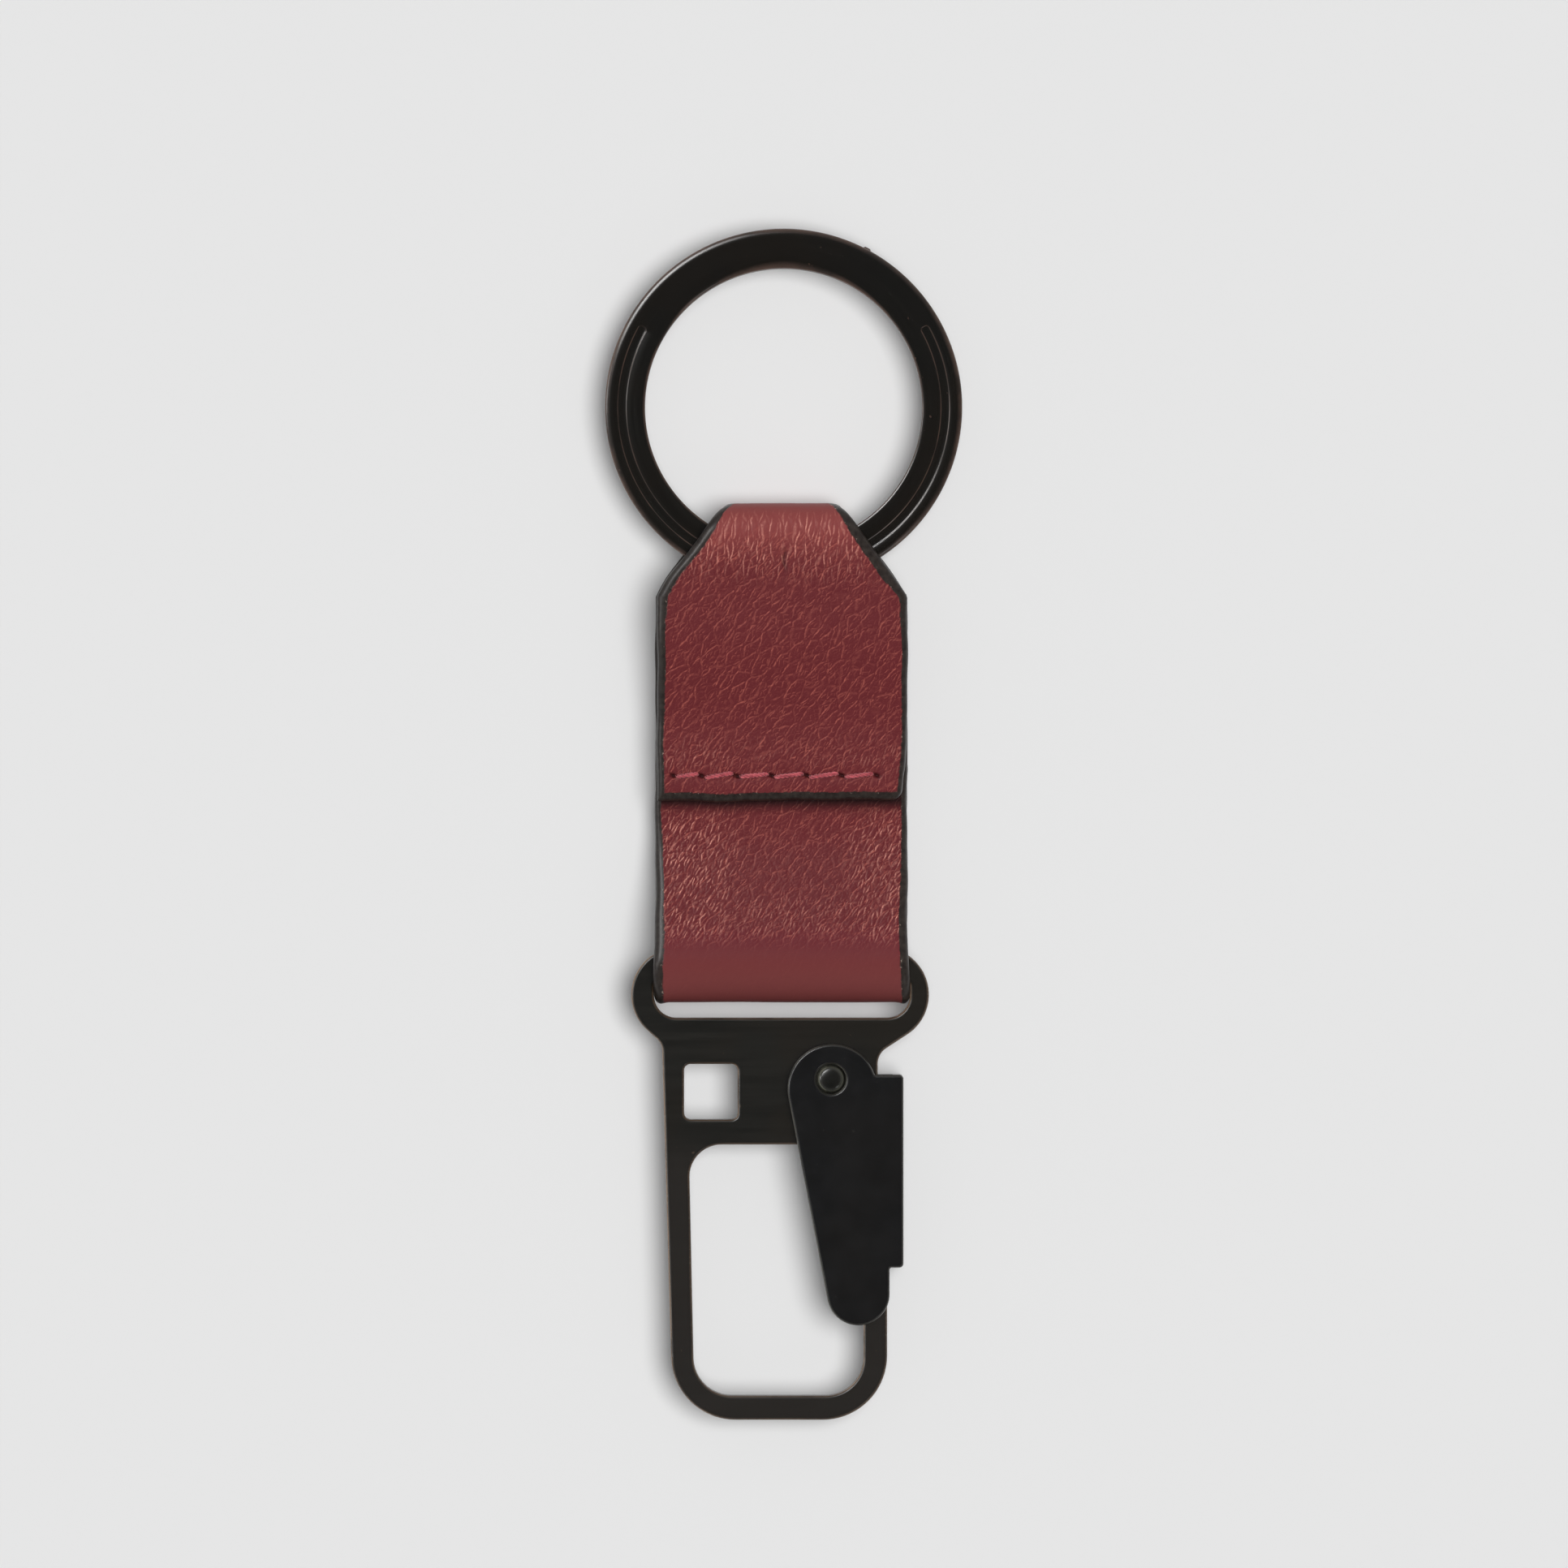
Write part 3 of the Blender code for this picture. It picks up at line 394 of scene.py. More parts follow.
def shade_flat_faces(obj):
    """Flat faces and straight walls are shaded flat right up to the rounded rims between them."""
    mesh = obj.data
    least = cos(radians(40))
    around = [[] for _ in mesh.vertices]
    for face in mesh.polygons:
        for vertex in face.vertices:
            around[vertex].append(face)
    corners = []
    for face in mesh.polygons:
        for vertex in face.vertices:
            near = [g for g in around[vertex] if g.normal.dot(face.normal) > least]
            level = [g for g in near if abs(g.normal.z) > 0.9995]
            upright = [g for g in near if abs(g.normal.z) < 0.02]
            chosen = level or upright or near or [face]
            corners.append(sum((g.normal * g.area for g in chosen), Vector()).normalized())
    mesh.normals_split_custom_set(corners)


def shade_by_area(obj):
    """Flat faces stay flat and rims stay round: normals are weighted by face area."""
    obj.data.set_sharp_from_angle(angle=radians(50))
    step = obj.modifiers.new("weighted", "WEIGHTED_NORMAL")
    step.keep_sharp = True
    step.weight = 80


def add_uv(mesh, name, u, v):
    """A UV layer from two values at each vertex."""
    corners = [loop.vertex_index for loop in mesh.loops]
    layer = mesh.uv_layers.new(name=name)
    layer.data.foreach_set("uv", np.stack([u[corners], v[corners]], -1).ravel().astype(np.float32))


# Materials


class Nodes:
    """A short way to write a node tree."""

    def __init__(self, tree):
        self.tree = tree

    def fill(self, node, values):
        """Links each socket that is given another node's output, and sets the others."""
        for key, value in values.items():
            if isinstance(value, bpy.types.NodeSocket):
                self.tree.links.new(value, node.inputs[key])
            else:
                node.inputs[key].default_value = value

    def add(self, kind, values=None, **settings):
        node = self.tree.nodes.new(kind)
        for key, value in settings.items():
            setattr(node, key, value)
        self.fill(node, values or {})
        return node

    def math(self, operation, a, b=0.0, c=0.0, clamp=False):
        values = {0: a, 1: b, 2: c}
        return self.add("ShaderNodeMath", values, operation=operation, use_clamp=clamp).outputs[0]

    def times(self, a, b):
        return self.math("MULTIPLY", a, b)

    def times_plus(self, a, b, c):
        return self.math("MULTIPLY_ADD", a, b, c)

    def vector(self, operation, values, output="Vector"):
        return self.add("ShaderNodeVectorMath", values, operation=operation).outputs[output]

    def noise(self, vector, scale, detail, roughness, output="Fac"):
        values = {"Vector": vector, "Scale": scale, "Detail": detail, "Roughness": roughness}
        return self.add("ShaderNodeTexNoise", values).outputs[output]

    def between(self, value, low, high, out_low=0.0, out_high=1.0):
        values = {0: value, 1: low, 2: high, 3: out_low, 4: out_high}
        return self.add("ShaderNodeMapRange", values, interpolation_type="SMOOTHSTEP").outputs[0]

    def mix(self, share, a, b):
        return self.add("ShaderNodeMix", {0: share, 6: a, 7: b}, data_type="RGBA").outputs[2]

    def mapped(self, vector, angle=0.0, scale=(1, 1, 1), location=(0, 0, 0)):
        values = {"Vector": vector, "Rotation": (0, 0, angle), "Scale": scale, "Location": location}
        return self.add("ShaderNodeMapping", values).outputs[0]

    def attribute(self, name):
        return self.add("ShaderNodeAttribute", attribute_name=name).outputs["Fac"]

    def uv(self, name):
        return self.add("ShaderNodeUVMap", uv_map=name).outputs[0]

    def coords(self, output="Object"):
        return self.add("ShaderNodeTexCoord").outputs[output]

    def bump(self, height, distance, strength):
        values = {"Height": height, "Distance": distance, "Strength": strength}
        return self.add("ShaderNodeBump", values).outputs[0]


class Surface(Nodes):
    """The node tree of a new material, and its Principled shader."""

    def __init__(self, name):
        self.material = bpy.data.materials.new(name)
        self.material.use_nodes = True
        super().__init__(self.material.node_tree)

    def finished(self, values):
        self.fill(self.tree.nodes["Principled BSDF"], values)
        return self.material


def srgb(r, g, b):
    """A colour written as it looks on a screen, from 0 to 255."""
    parts = [c / 255 for c in (r, g, b)]
    return (*[c / 12.92 if c <= 0.04045 else ((c + 0.055) / 1.055) ** 2.4 for c in parts], 1.0)


def warped(n, uv, scale, amount):
    """The leather's own coordinates, pushed about so that no two cells look alike."""
    drift = n.noise(uv, scale, 2.0, 0.5, "Color")
    drift = n.vector("SUBTRACT", {0: drift, 1: (0.5, 0.5, 0.5)})
    return n.vector("ADD", {0: uv, 1: n.vector("SCALE", {0: drift, 3: amount})})


def creases(n, at, angle, size, stretch, width, light, shift=0.032):
    """Cells stretched along an angle: each crease's flank towards the light, the other, the level."""
    heights = []
    for side in (shift, -shift):
        turn = radians(light - angle)
        offset = (side * cos(turn), side * sin(turn), 0)
        turned = n.mapped(at, -radians(angle), location=offset)
        turned = n.mapped(turned, scale=(1.0 / (size * stretch), 1.0 / size, 1.0))
        values = {"Vector": turned, "Scale": 1.0}
        cell = n.add("ShaderNodeTexVoronoi", values, feature="DISTANCE_TO_EDGE")
        heights.append(n.between(cell.outputs["Distance"], 0.0, width / size))
    towards, away = heights
    lit = n.math("SUBTRACT", away, towards, clamp=True)
    shade = n.math("SUBTRACT", towards, away, clamp=True)
    return lit, shade, n.times(n.math("ADD", towards, away), 0.5)


def leather_grain(n, uv, skin, stretched):
    """Masks for painted light on the creases: lit flanks, shaded ones and strokes that catch the light;
    and the height.
    """

    def patchy(value, scale, low, high, least):
        return n.times(value, n.between(n.noise(skin, scale, 3.0, 0.6), low, high, least, 1.0))

    crown_glints, dense_glints = n.attribute("crown_glints"), n.attribute("dense_glints")
    smooth = n.times_plus(stretched, -0.95, 1.0)
    big_lit, big_shade, big_level = creases(n, skin, 54, 0.86, 2.1, 0.11, 140)
    small_lit, small_shade, small_level = creases(n, skin, 50, 0.38, 1.5, 0.08, 142)
    crown_lit, _, crown_level = creases(n, warped(n, uv, 0.9, 0.34), 84, 0.50, 3.2, 0.11, 176)
    dense_lit, _, dense_level = creases(n, warped(n, uv, 1.0, 0.24), 66, 0.42, 2.7, 0.10, 156)
    small_lit = n.times(patchy(small_lit, 1.0, 0.40, 0.62, 0.15), 0.6)
    lines = n.times(n.math("MAXIMUM", patchy(big_lit, 1.4, 0.34, 0.60, 0.25), small_lit), smooth)
    shades = n.times(n.math("MAXIMUM", big_shade, n.times(small_shade, 0.6)), smooth)
    crown_lit = n.times(patchy(crown_lit, 1.3, 0.38, 0.54, 0.1), n.times(crown_glints, 1.1))
    dense_lit = n.times(patchy(dense_lit, 1.1, 0.42, 0.58, 0.1), n.times(dense_glints, 1.25))
    bright = n.math("MAXIMUM", crown_lit, dense_lit)
    level = n.times(n.times_plus(small_level, 0.5, big_level), 0.67)
    level = n.times_plus(n.math("SUBTRACT", level, 1.0), smooth, 1.0)
    level = n.times_plus(n.math("SUBTRACT", crown_level, 1.0), crown_glints, level)
    level = n.times_plus(n.math("SUBTRACT", dense_level, 1.0), dense_glints, level)
    return lines, shades, bright, level


def leather_body(n, uv, pores, stretched, grain):
    """The face's colour with painted highlights and shade, the suede of the other side, and painted shadow
    under the flap.
    """
    lines, shades, bright = grain
    mottle = n.between(n.noise(uv, 0.4, 3.0, 0.55), 0.3, 0.7)
    glint = n.between(n.noise(uv, 5.0, 2.0, 0.6), 0.3, 0.75, 0.4, 1.0)
    body = n.mix(mottle, srgb(115, 50, 54), srgb(130, 59, 61))
    body = n.mix(n.times(n.between(pores, 0.35, 0.7), 0.4), srgb(97, 37, 41), body)
    suede = n.mix(n.noise(uv, 9.0, 3.0, 0.7), srgb(70, 34, 33), srgb(104, 58, 52))
    layers = [
        (n.times(stretched, 0.8), srgb(113, 52, 52)),
        # Painted highlight over the upper fold, fainter at the lower one
        (n.times(n.attribute("fold_highlight"), 0.85), srgb(143, 70, 68)),
        (n.times(n.attribute("deep"), 0.9), srgb(105, 40, 46)),
        # Painted sheen round the lower fold
        (n.times(n.attribute("sheen"), 0.32), srgb(120, 68, 66)),
        # Painted shade on the creases' flanks that face away from the lamps, painted highlights and glints
        # on those that face them
        (n.times(shades, 0.3), srgb(80, 24, 29)),
        (n.times(lines, glint), srgb(198, 110, 96)),
        (n.times(bright, glint), srgb(246, 166, 148)),
        (n.attribute("flesh"), suede),
        # Painted shadow on the tucked end just below the flap's end
        (n.times(n.attribute("flap_shadow"), 0.96), srgb(26, 10, 11)),
    ]
    for share, colour in layers:
        body = n.mix(share, body, colour)
    return body


def leather_material():
    """Pebbled burgundy grain whose slanting creases carry painted highlights, shade and glints, with dark
    edge paint.
    """
    n = Surface("burgundy_leather")
    uv = n.uv("hide")
    rim = n.attribute("rim")
    stretched = n.attribute("stretched")
    skin = warped(n, uv, 0.9, 0.5)
    *grain, level = leather_grain(n, uv, skin, stretched)
    pores = n.noise(uv, 13.0, 3.0, 0.65)
    body = leather_body(n, uv, pores, stretched, grain)

    ragged = n.times_plus(n.noise(uv, 1.7, 4.0, 0.65), 0.36, -0.18)
    ragged = n.times(ragged, n.between(rim, 0.0, 0.08))
    painted = n.between(n.math("ADD", rim, ragged), 0.02, 0.12)
    paint = n.mix(n.between(n.noise(uv, 1.8, 4.0, 0.6), 0.3, 0.7), srgb(34, 28, 26), srgb(53, 47, 43))
    border = n.times(n.between(rim, 0.02, 0.1), n.between(rim, 0.34, 0.12))
    chipped = n.times(border, n.between(n.noise(uv, 2.6, 4.0, 0.75), 0.60, 0.68))
    colour = n.mix(painted, body, paint)
    colour = n.mix(n.times(chipped, 0.75), colour, srgb(186, 165, 152))
    # Painted shade in the stitch holes and in the dimple
    colour = n.mix(n.times(n.attribute("hole"), 0.8), colour, srgb(30, 12, 13))

    rough = n.times_plus(pores, 0.22, 0.36)
    rough = n.times_plus(n.attribute("flesh"), 0.35, rough)
    height = n.times_plus(pores, 0.3, level)
    height = n.times_plus(n.noise(skin, 1.2, 2.0, 0.5), 0.9, height)
    height = n.times(height, n.times_plus(painted, -0.85, 1.0))
    return n.finished({
        "Base Color": colour,
        "Roughness": n.times_plus(painted, -0.12, rough),
        "Specular IOR Level": 0.15,
        "Coat Weight": n.times(painted, 0.22),
        "Coat Roughness": 0.35,
        "Normal": n.bump(height, 0.00003, 0.8),
    })


def thread_material():
    """Twisted fibres across the strands."""
    n = Surface("red_thread")
    fibre = n.noise(n.mapped(n.coords(), radians(30), (900, 5200, 5200)), 1.0, 3.0, 0.6)
    return n.finished({
        "Base Color": n.mix(n.between(fibre, 0.3, 0.7), srgb(138, 48, 58), srgb(206, 96, 104)),
        "Roughness": 0.55,
        "Sheen Weight": 0.25,
        "Normal": n.bump(fibre, 0.00003, 0.6),
    })


def black_metal(
    name, face, rim, roughness, wear,
    grain=(400, 400, 400), polish=0.1, brushed=None, corner_light=(1.3, 4.2), lighter_below=None,
):
    """Satin black coating: even on its faces, thinner, warmer and smoother along its rims.

    wear is the share of the rim's colour, brushed the UV layer that the grain follows, corner_light
    the brightness of the painted highlight on the rims' outermost corners, on the whole and towards
    the left, and lighter_below the heights between which the coating turns lighter and browner.
    """
    n = Surface(name)
    at = n.coords()
    lay = n.uv(brushed) if brushed else at
    normal = n.add("ShaderNodeSeparateXYZ", {0: n.coords("Normal")})
    facing = n.math("ABSOLUTE", normal.outputs["Z"])
    patches = n.noise(at, 240.0, 4.0, 0.6)
    streaks = n.noise(n.mapped(lay, scale=grain), 1.0, 4.0, 0.65)
    edge = n.times(n.between(facing, 0.985, 0.86), n.between(facing, 0.1, 0.5))
    worn = n.times(edge, n.between(patches, 0.35, 0.6, 0.3, 1.0))
    lighter = (*(c * 1.9 for c in face[:3]), 1.0)
    browner = (face[0] * 1.9, face[1] * 1.5, face[2] * 1.2, 1.0)
    colour = n.mix(n.between(streaks, 0.3, 0.75), face, lighter)
    colour = n.mix(n.between(n.noise(at, 130.0, 2.0, 0.5), 0.4, 0.65, 0.0, 0.7), colour, browner)
    # Between the given heights the coating turns lighter and browner, and stays so beyond the second
    if lighter_below:
        high, low = (y * MM for y in lighter_below)
        height = n.add("ShaderNodeSeparateXYZ", {0: at}).outputs["Y"]
        colour = n.mix(n.between(height, high, low, 0.0, 0.75), colour, srgb(32, 28, 25))
    colour = n.mix(n.times(worn, wear), colour, rim)
    # Painted highlight: the rims' outermost corners take the rim's colour made brighter, most where they
    # face left; patches vary it
    corner = n.times(n.between(facing, 0.85, 0.6), n.between(facing, 0.02, 0.15))
    corner = n.times(corner, n.between(patches, 0.3, 0.55, 0.3, 1.0))
    corner_brightness = n.between(normal.outputs["X"], -0.15, -0.5, *corner_light)
    colour = n.mix(corner, colour, n.vector("SCALE", {0: rim[:3], 3: corner_brightness}))
    speck = n.between(n.noise(at, 1500.0, 2.0, 0.5), 0.73, 0.78)
    colour = n.mix(n.times(speck, 0.5), colour, rim)
    rough = n.times_plus(streaks, 0.16, roughness - 0.08)
    return n.finished({
        "Base Color": colour,
        "Roughness": n.times_plus(edge, -polish, rough),
        "Specular IOR Level": 0.5,
        "Normal": n.bump(streaks, 0.000002, 0.4),
    })


def spring_material():
    """Bare drawn wire."""
    n = Surface("spring_steel")
    drawn = n.noise(n.mapped(n.coords(), scale=(3000, 3000, 9000)), 1.0, 3.0, 0.6)
    return n.finished({
        "Base Color": n.mix(drawn, srgb(120, 118, 112), srgb(165, 163, 158)),
        "Metallic": 1.0,
        "Roughness": n.times_plus(drawn, 0.2, 0.22),
    })


# Leather strip, one piece from its tucked end to the flap's


def strip_path():
    """The strip's middle line as (y, z)."""
    arcs = [
        (TUCK_END, TUCK_Z, 0, 1),
        (TUCK_FLAT_START, TUCK_Z + BEND_RADIUS, BEND_RADIUS, -1),
        (0.0, BAR_Z, BAR_FOLD_RADIUS, 1),
        (STRAP_LENGTH, RING_Z, RING_FOLD_RADIUS, 1),
        (SHOULDER_END, SHOULDER_TOP - BEND_RADIUS, BEND_RADIUS, 1),
        (FLAP_FLAT_END, FLAP_Z + BEND_RADIUS, BEND_RADIUS, -1),
        (FLAP_END, FLAP_Z, 0, 1),
    ]
    return np.array(belt(arcs, closed=False, arc_step=1.5)) + (BAR_Y, 0)


class Strip:
    """The rows across the strip, as columns of numbers, and its folds and seams as marks along it."""

    def __init__(self):
        path = strip_path()
        length = line_lengths(path)
        self.total = length[-1]
        self.fold = length[np.argmax(path[:, 0])]
        self.bar_fold = length[np.argmin(path[:, 0])]
        self.back_seam = self.bar_fold + QUARTER_FOLD + (SEAM_Y - BAR_Y)
        self.flap_seam = self.total - (SEAM_Y - FLAP_END_Y)
        self.under_flap = TUCK_END - (FLAP_END_Y - BAR_Y)
        marks = self.row_marks()
        y = np.interp(marks, length, path[:, 0])
        z = np.interp(marks, length, path[:, 1])
        along_y = np.gradient(y, marks)
        along_z = np.gradient(z, marks)
        norm = np.hypot(along_y, along_z)
        columns = (marks, y, z, along_z / norm, -along_y / norm)
        self.marks, self.y, self.z, self.out_y, self.out_z = (c[:, None] for c in columns)
        self.front = self.marks > self.fold
        self.tuck = self.marks < self.bar_fold

    def row_marks(self):
        """Even steps, with finer ones at the seams and the finest at the strip's two ends."""
        marks = list(np.linspace(0, self.total, int(self.total / ROW_STEP)))
        for middle, reach in ((self.flap_seam, 0.7), (self.back_seam, 0.9)):
            low, high = middle - reach, middle + reach
            marks = [m for m in marks if not low < m < high]
            marks += list(np.linspace(low, high, int((high - low) / SEAM_ROW_STEP)))
        marks = [m for m in marks if END_REACH < m < self.total - END_REACH] + [0, self.total]
        marks += END_STEPS + [self.total - e for e in END_STEPS]
        return np.array(sorted(marks))


def strip_sides(strip):
    """The x of both edges at each row: tapered to the waist, cut by hand and so a little uneven."""
    marks = strip.marks
    from_fold = np.abs(marks - strip.fold)
    share = np.clip((from_fold - TAPER_START) / (TAPER_END - TAPER_START), 0, 1)
    bow = 0.12 * np.sin(np.pi * share) * (share - 0.45) * 4
    bow -= 0.5 * np.clip(1 - from_fold / 1.3, 0, 1) ** 2
    half = WAIST_HALF + (STRAP_HALF - WAIST_HALF) * share + bow
    from_end = strip.total - marks
    slant = FLAP_SLANT * np.clip(1 - from_end / FLAP_SLANT_LENGTH, 0, 1)
    rounding = np.sqrt(1 - np.clip(1 - from_end / FLAP_CORNER, 0, 1) ** 2)
    slant += FLAP_CORNER * (1 - rounding)
    wander = 0.035 * np.sin(marks * 0.55) + 0.025 * np.sin(marks * 1.31 + 1.0)
    behind = np.where(strip.front, 0, ramp(3.4, 5.2, from_fold))
    near_bar = ramp(7.0, 2.5, np.abs(marks - strip.bar_fold))
    left = STRAP_X - half + wander - behind * (0.42 - 0.25 * share) - 0.14 * near_bar
    left -= 0.1 * bell(share, 0.78, 0.15)
    right = STRAP_X + half + wander[::-1] - slant + behind * 0.3 * (1 - share) + 0.2 * near_bar
    right += 0.09 * share**4
    return left, right


def strip_columns(left, right):
    """The x of each row's points, closest together at the edges."""
    rim, wide = RIM_STEPS[:-1], RIM_STEPS[-1]
    middle = (left + right) / 2 + np.linspace(-1, 1, INNER_COLUMNS) * (right - left - 2 * wide) / 2
    return np.concatenate([left + rim, middle, (right - rim)[:, ::-1]], axis=1)


def strip_edge_share(strip, x, left, right):
    """From 0 on the face to 1 at the very edge, over a width that changes along the front."""

    def rim(flap_places, flap_widths, tuck_widths):
        width = np.where(strip.front, np.interp(strip.y, flap_places, flap_widths), EDGE_ROUND)
        return np.where(strip.tuck, np.interp(strip.y, [-9.5, 1], tuck_widths), width)

    left_rim = rim([8, 17.5, 19.5, 27], [0.6, 0.8, 1.02, 1.0], [0.84, 0.56])
    right_rim = rim([8, 18.5, 20.5, 27], [0.44, 0.62, 1.2, 1.05], [0.78, 0.46])
    sides = np.maximum(1 - (x - left) / left_rim, 1 - (right - x) / right_rim)
    from_end = np.minimum(strip.marks, strip.total - strip.marks)
    return np.clip(np.maximum(sides, 1 - from_end / EDGE_ROUND), 0, 1)


def ripples(x, marks):
    """Slight unevenness of both faces."""
    rng = np.random.default_rng(7)
    ripple = np.zeros_like(x)
    for _ in range(14):
        across, along = rng.uniform(-0.9, 0.9), rng.uniform(-0.9, 0.9)
        ripple += rng.uniform(0.3, 1.0) * np.sin(across * x + along * marks + rng.uniform(0, 6.3))
    return ripple * 0.006


def strip_relief(strip, x, near):
    """How far each face stands from the middle line, and where the front is sunk in a hole or the dimple,
    a mask for painted shade in the colour.
    """
    m = strip.marks
    thick = LEATHER / 2 * (1 - near**EDGE_POWER) ** (1 / EDGE_POWER)
    ripple = ripples(x, m)
    first, last = HOLES[0], HOLES[-1]
    along_seam = ramp(first - 0.5, first, x) * ramp(last + 0.5, last, x)
    top = thick + ripple - 0.10 * bell(m, strip.flap_seam, 0.55) * along_seam
    top -= 0.06 * bell(m, strip.total - 0.35, 0.5)
    top -= 0.46 * bell(m, strip.back_seam, 0.27, 4) * along_seam
    hole = np.zeros_like(x)
    for hole_x in HOLES:
        in_x = bell(x, hole_x, 0.21 if hole_x in (first, last) else 0.28, 4)
        leaning = m - 0.30 * (x - hole_x)
        on_flap = in_x * bell(leaning, strip.flap_seam, 0.15, 4)
        on_back = in_x * bell(m, strip.back_seam, 0.2, 4)
        top -= 0.75 * on_flap + 0.25 * on_back
        hole = np.maximum(hole, np.maximum(on_flap, on_back * 0.7))
    dimple = bell(x - 0.08 * np.sin(4 * m), 0.05, 0.15) * bell(strip.y, DIMPLE_Y, 0.85, 4) * strip.front
    top -= 0.16 * dimple
    return top, thick - ripple, np.maximum(hole, 0.8 * dimple)


def strip_sway(strip, x, left, right):
    """How the flap's end droops along its width, and the lower fold's corners pull in."""
    droop = 0.005 * x + 0.03 * np.sin(1.3 * x) - 0.14 * bell(x, -4.8, 2.2)
    at_flap = ramp(strip.total - 3.5, strip.total, strip.marks)
    from_side = np.minimum(x - left, right - x)
    at_bar = ramp(3.2, 1.2, np.abs(strip.marks - strip.bar_fold))
    return droop * at_flap - 0.15 * bell(from_side, 0.45, 0.45) * at_bar


def strip_looks(strip, x, near, hole):
    """Where each look of the front face holds, from 0 to 1."""
    m = strip.marks
    past = m - strip.fold  # down the front, from the top of the upper fold
    above = strip.bar_fold - m  # up the front, from the bottom of the lower fold
    sides = 0.08 + 0.92 * np.maximum(ramp(-2.5, -7.0, x), 0.85 * ramp(3.5, 8.0, x))
    above_fold = ramp(18.5, 15.5, above) * ramp(4.9, 6.9, above) * sides
    low_band = ramp(10.2, 8.8, above) * ramp(5.4, 7.0, above)
    above_seam = bell(m, strip.flap_seam - 1.6, 1.5) * (0.35 + 0.4 * sides)
    under_droop = np.maximum(m - strip.under_flap - 0.12 * bell(x, -4.8, 2.2), 0)
    return {
        "rim": near,
        "hole": hole,
        "stretched": np.maximum(ramp(4.0, 2.2, abs(past)), ramp(5.9, 4.1, abs(above - 0.6))),
        # Where the painted glint strokes gather: below the upper fold, above the lower fold, above the
        # seam and near the sides
        "crown_glints": ramp(1.3, 2.6, past) * ramp(8.0, 4.2, past),
        "dense_glints": np.maximum(np.maximum(above_fold, 0.5 * low_band), 0.6 * above_seam),
        # Painted highlight over the upper fold, fainter at the lower one
        "fold_highlight": np.maximum(ramp(6.5, 1.5, abs(past)), 0.3 * ramp(3.4, 1.0, abs(above))),
        "deep": bell(above, 5.8, 1.3),
        # Painted sheen round the lower fold
        "sheen": ramp(4.4, 2.8, abs(above)),
        # Painted shadow on the tucked end, just below the flap's drooping end
        "flap_shadow": bell(under_droop, 0, 0.72) * strip.tuck,
        "flesh": 0.0,
    }


def build_leather(material):
    strip = Strip()
    left, right = strip_sides(strip)
    x = strip_columns(left, right)
    near = strip_edge_share(strip, x, left, right)
    top, bottom, hole = strip_relief(strip, x, near)
    y = strip.y + strip_sway(strip, x, left, right)
    upper = np.stack([x, y + strip.out_y * top, strip.z + strip.out_z * top], -1)
    lower = np.stack([x, y - strip.out_y * bottom, strip.z - strip.out_z * bottom], -1)
    upper[:, :, 2] = np.maximum(upper[:, :, 2], 0.0)

    rows, columns = x.shape
    inner = np.zeros((rows, columns), bool)
    inner[1:-1, 1:-1] = True  # the two faces share the points of their borders
    over = np.arange(x.size).reshape(x.shape)
    under = over.copy()
    under[inner] = x.size + np.arange(inner.sum())
    over, under = over.tolist(), under.tolist()
    faces = []
    for i in range(rows - 1):
        for j in range(columns - 1):
            faces.append((over[i][j], over[i][j + 1], over[i + 1][j + 1], over[i + 1][j]))
            faces.append((under[i][j], under[i + 1][j], under[i + 1][j + 1], under[i][j + 1]))
    points = np.concatenate([upper.reshape(-1, 3), lower[inner]])
    mesh = shell_mesh("leather_strip", points, faces)

    def per_point(front, back):
        front, back = np.broadcast_to(front, x.shape), np.broadcast_to(back, x.shape)
        return np.concatenate([front.ravel(), back[inner]]).astype(np.float32)

    behind = {"rim": near, "flesh": 1.0}
    for name, grid in strip_looks(strip, x, near, hole).items():
        values = per_point(grid, behind.get(name, 0.0))
        mesh.attributes.new(name, "FLOAT", "POINT").data.foreach_set("value", values)
    add_uv(mesh, "hide", per_point(x, x), -per_point(strip.marks, strip.marks + 200))
    piece = add_object("leather_strip", mesh, material)
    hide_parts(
        "leather_strap", "leather_flap", "leather_neck_front", "leather_neck_back", "leather_loop"
    )
    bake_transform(piece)


# Thread and wire


def swept_rings(path, radius, sides, offset=0.0, pitch=1.0, phase=0.0):
    """Rings of points along a line; with an offset they wind round it, once in each pitch."""
    path = np.asarray(path, float)
    length = line_lengths(path)
    marks = np.linspace(0, length[-1], max(12, int(length[-1] / 0.07)))
    line = np.stack([np.interp(marks, length, path[:, i]) for i in range(3)], -1)
    tangents = np.gradient(line, marks, axis=0)
    tangents /= np.linalg.norm(tangents, axis=1)[:, None]
    normal = np.array([0.0, 1.0, 0.0])
    angles = (np.arange(sides) * tau / sides)[:, None]
    rings = []
    for point, tangent, mark in zip(line, tangents, marks):
        normal = normal - tangent * normal.dot(tangent)
        normal /= np.linalg.norm(normal)
        other = np.cross(tangent, normal)
        turn = tau * (mark / pitch + phase)
        centre = point + offset * (cos(turn) * normal + sin(turn) * other)
        rings.append(centre + radius * (np.cos(angles) * normal + np.sin(angles) * other))
    return rings


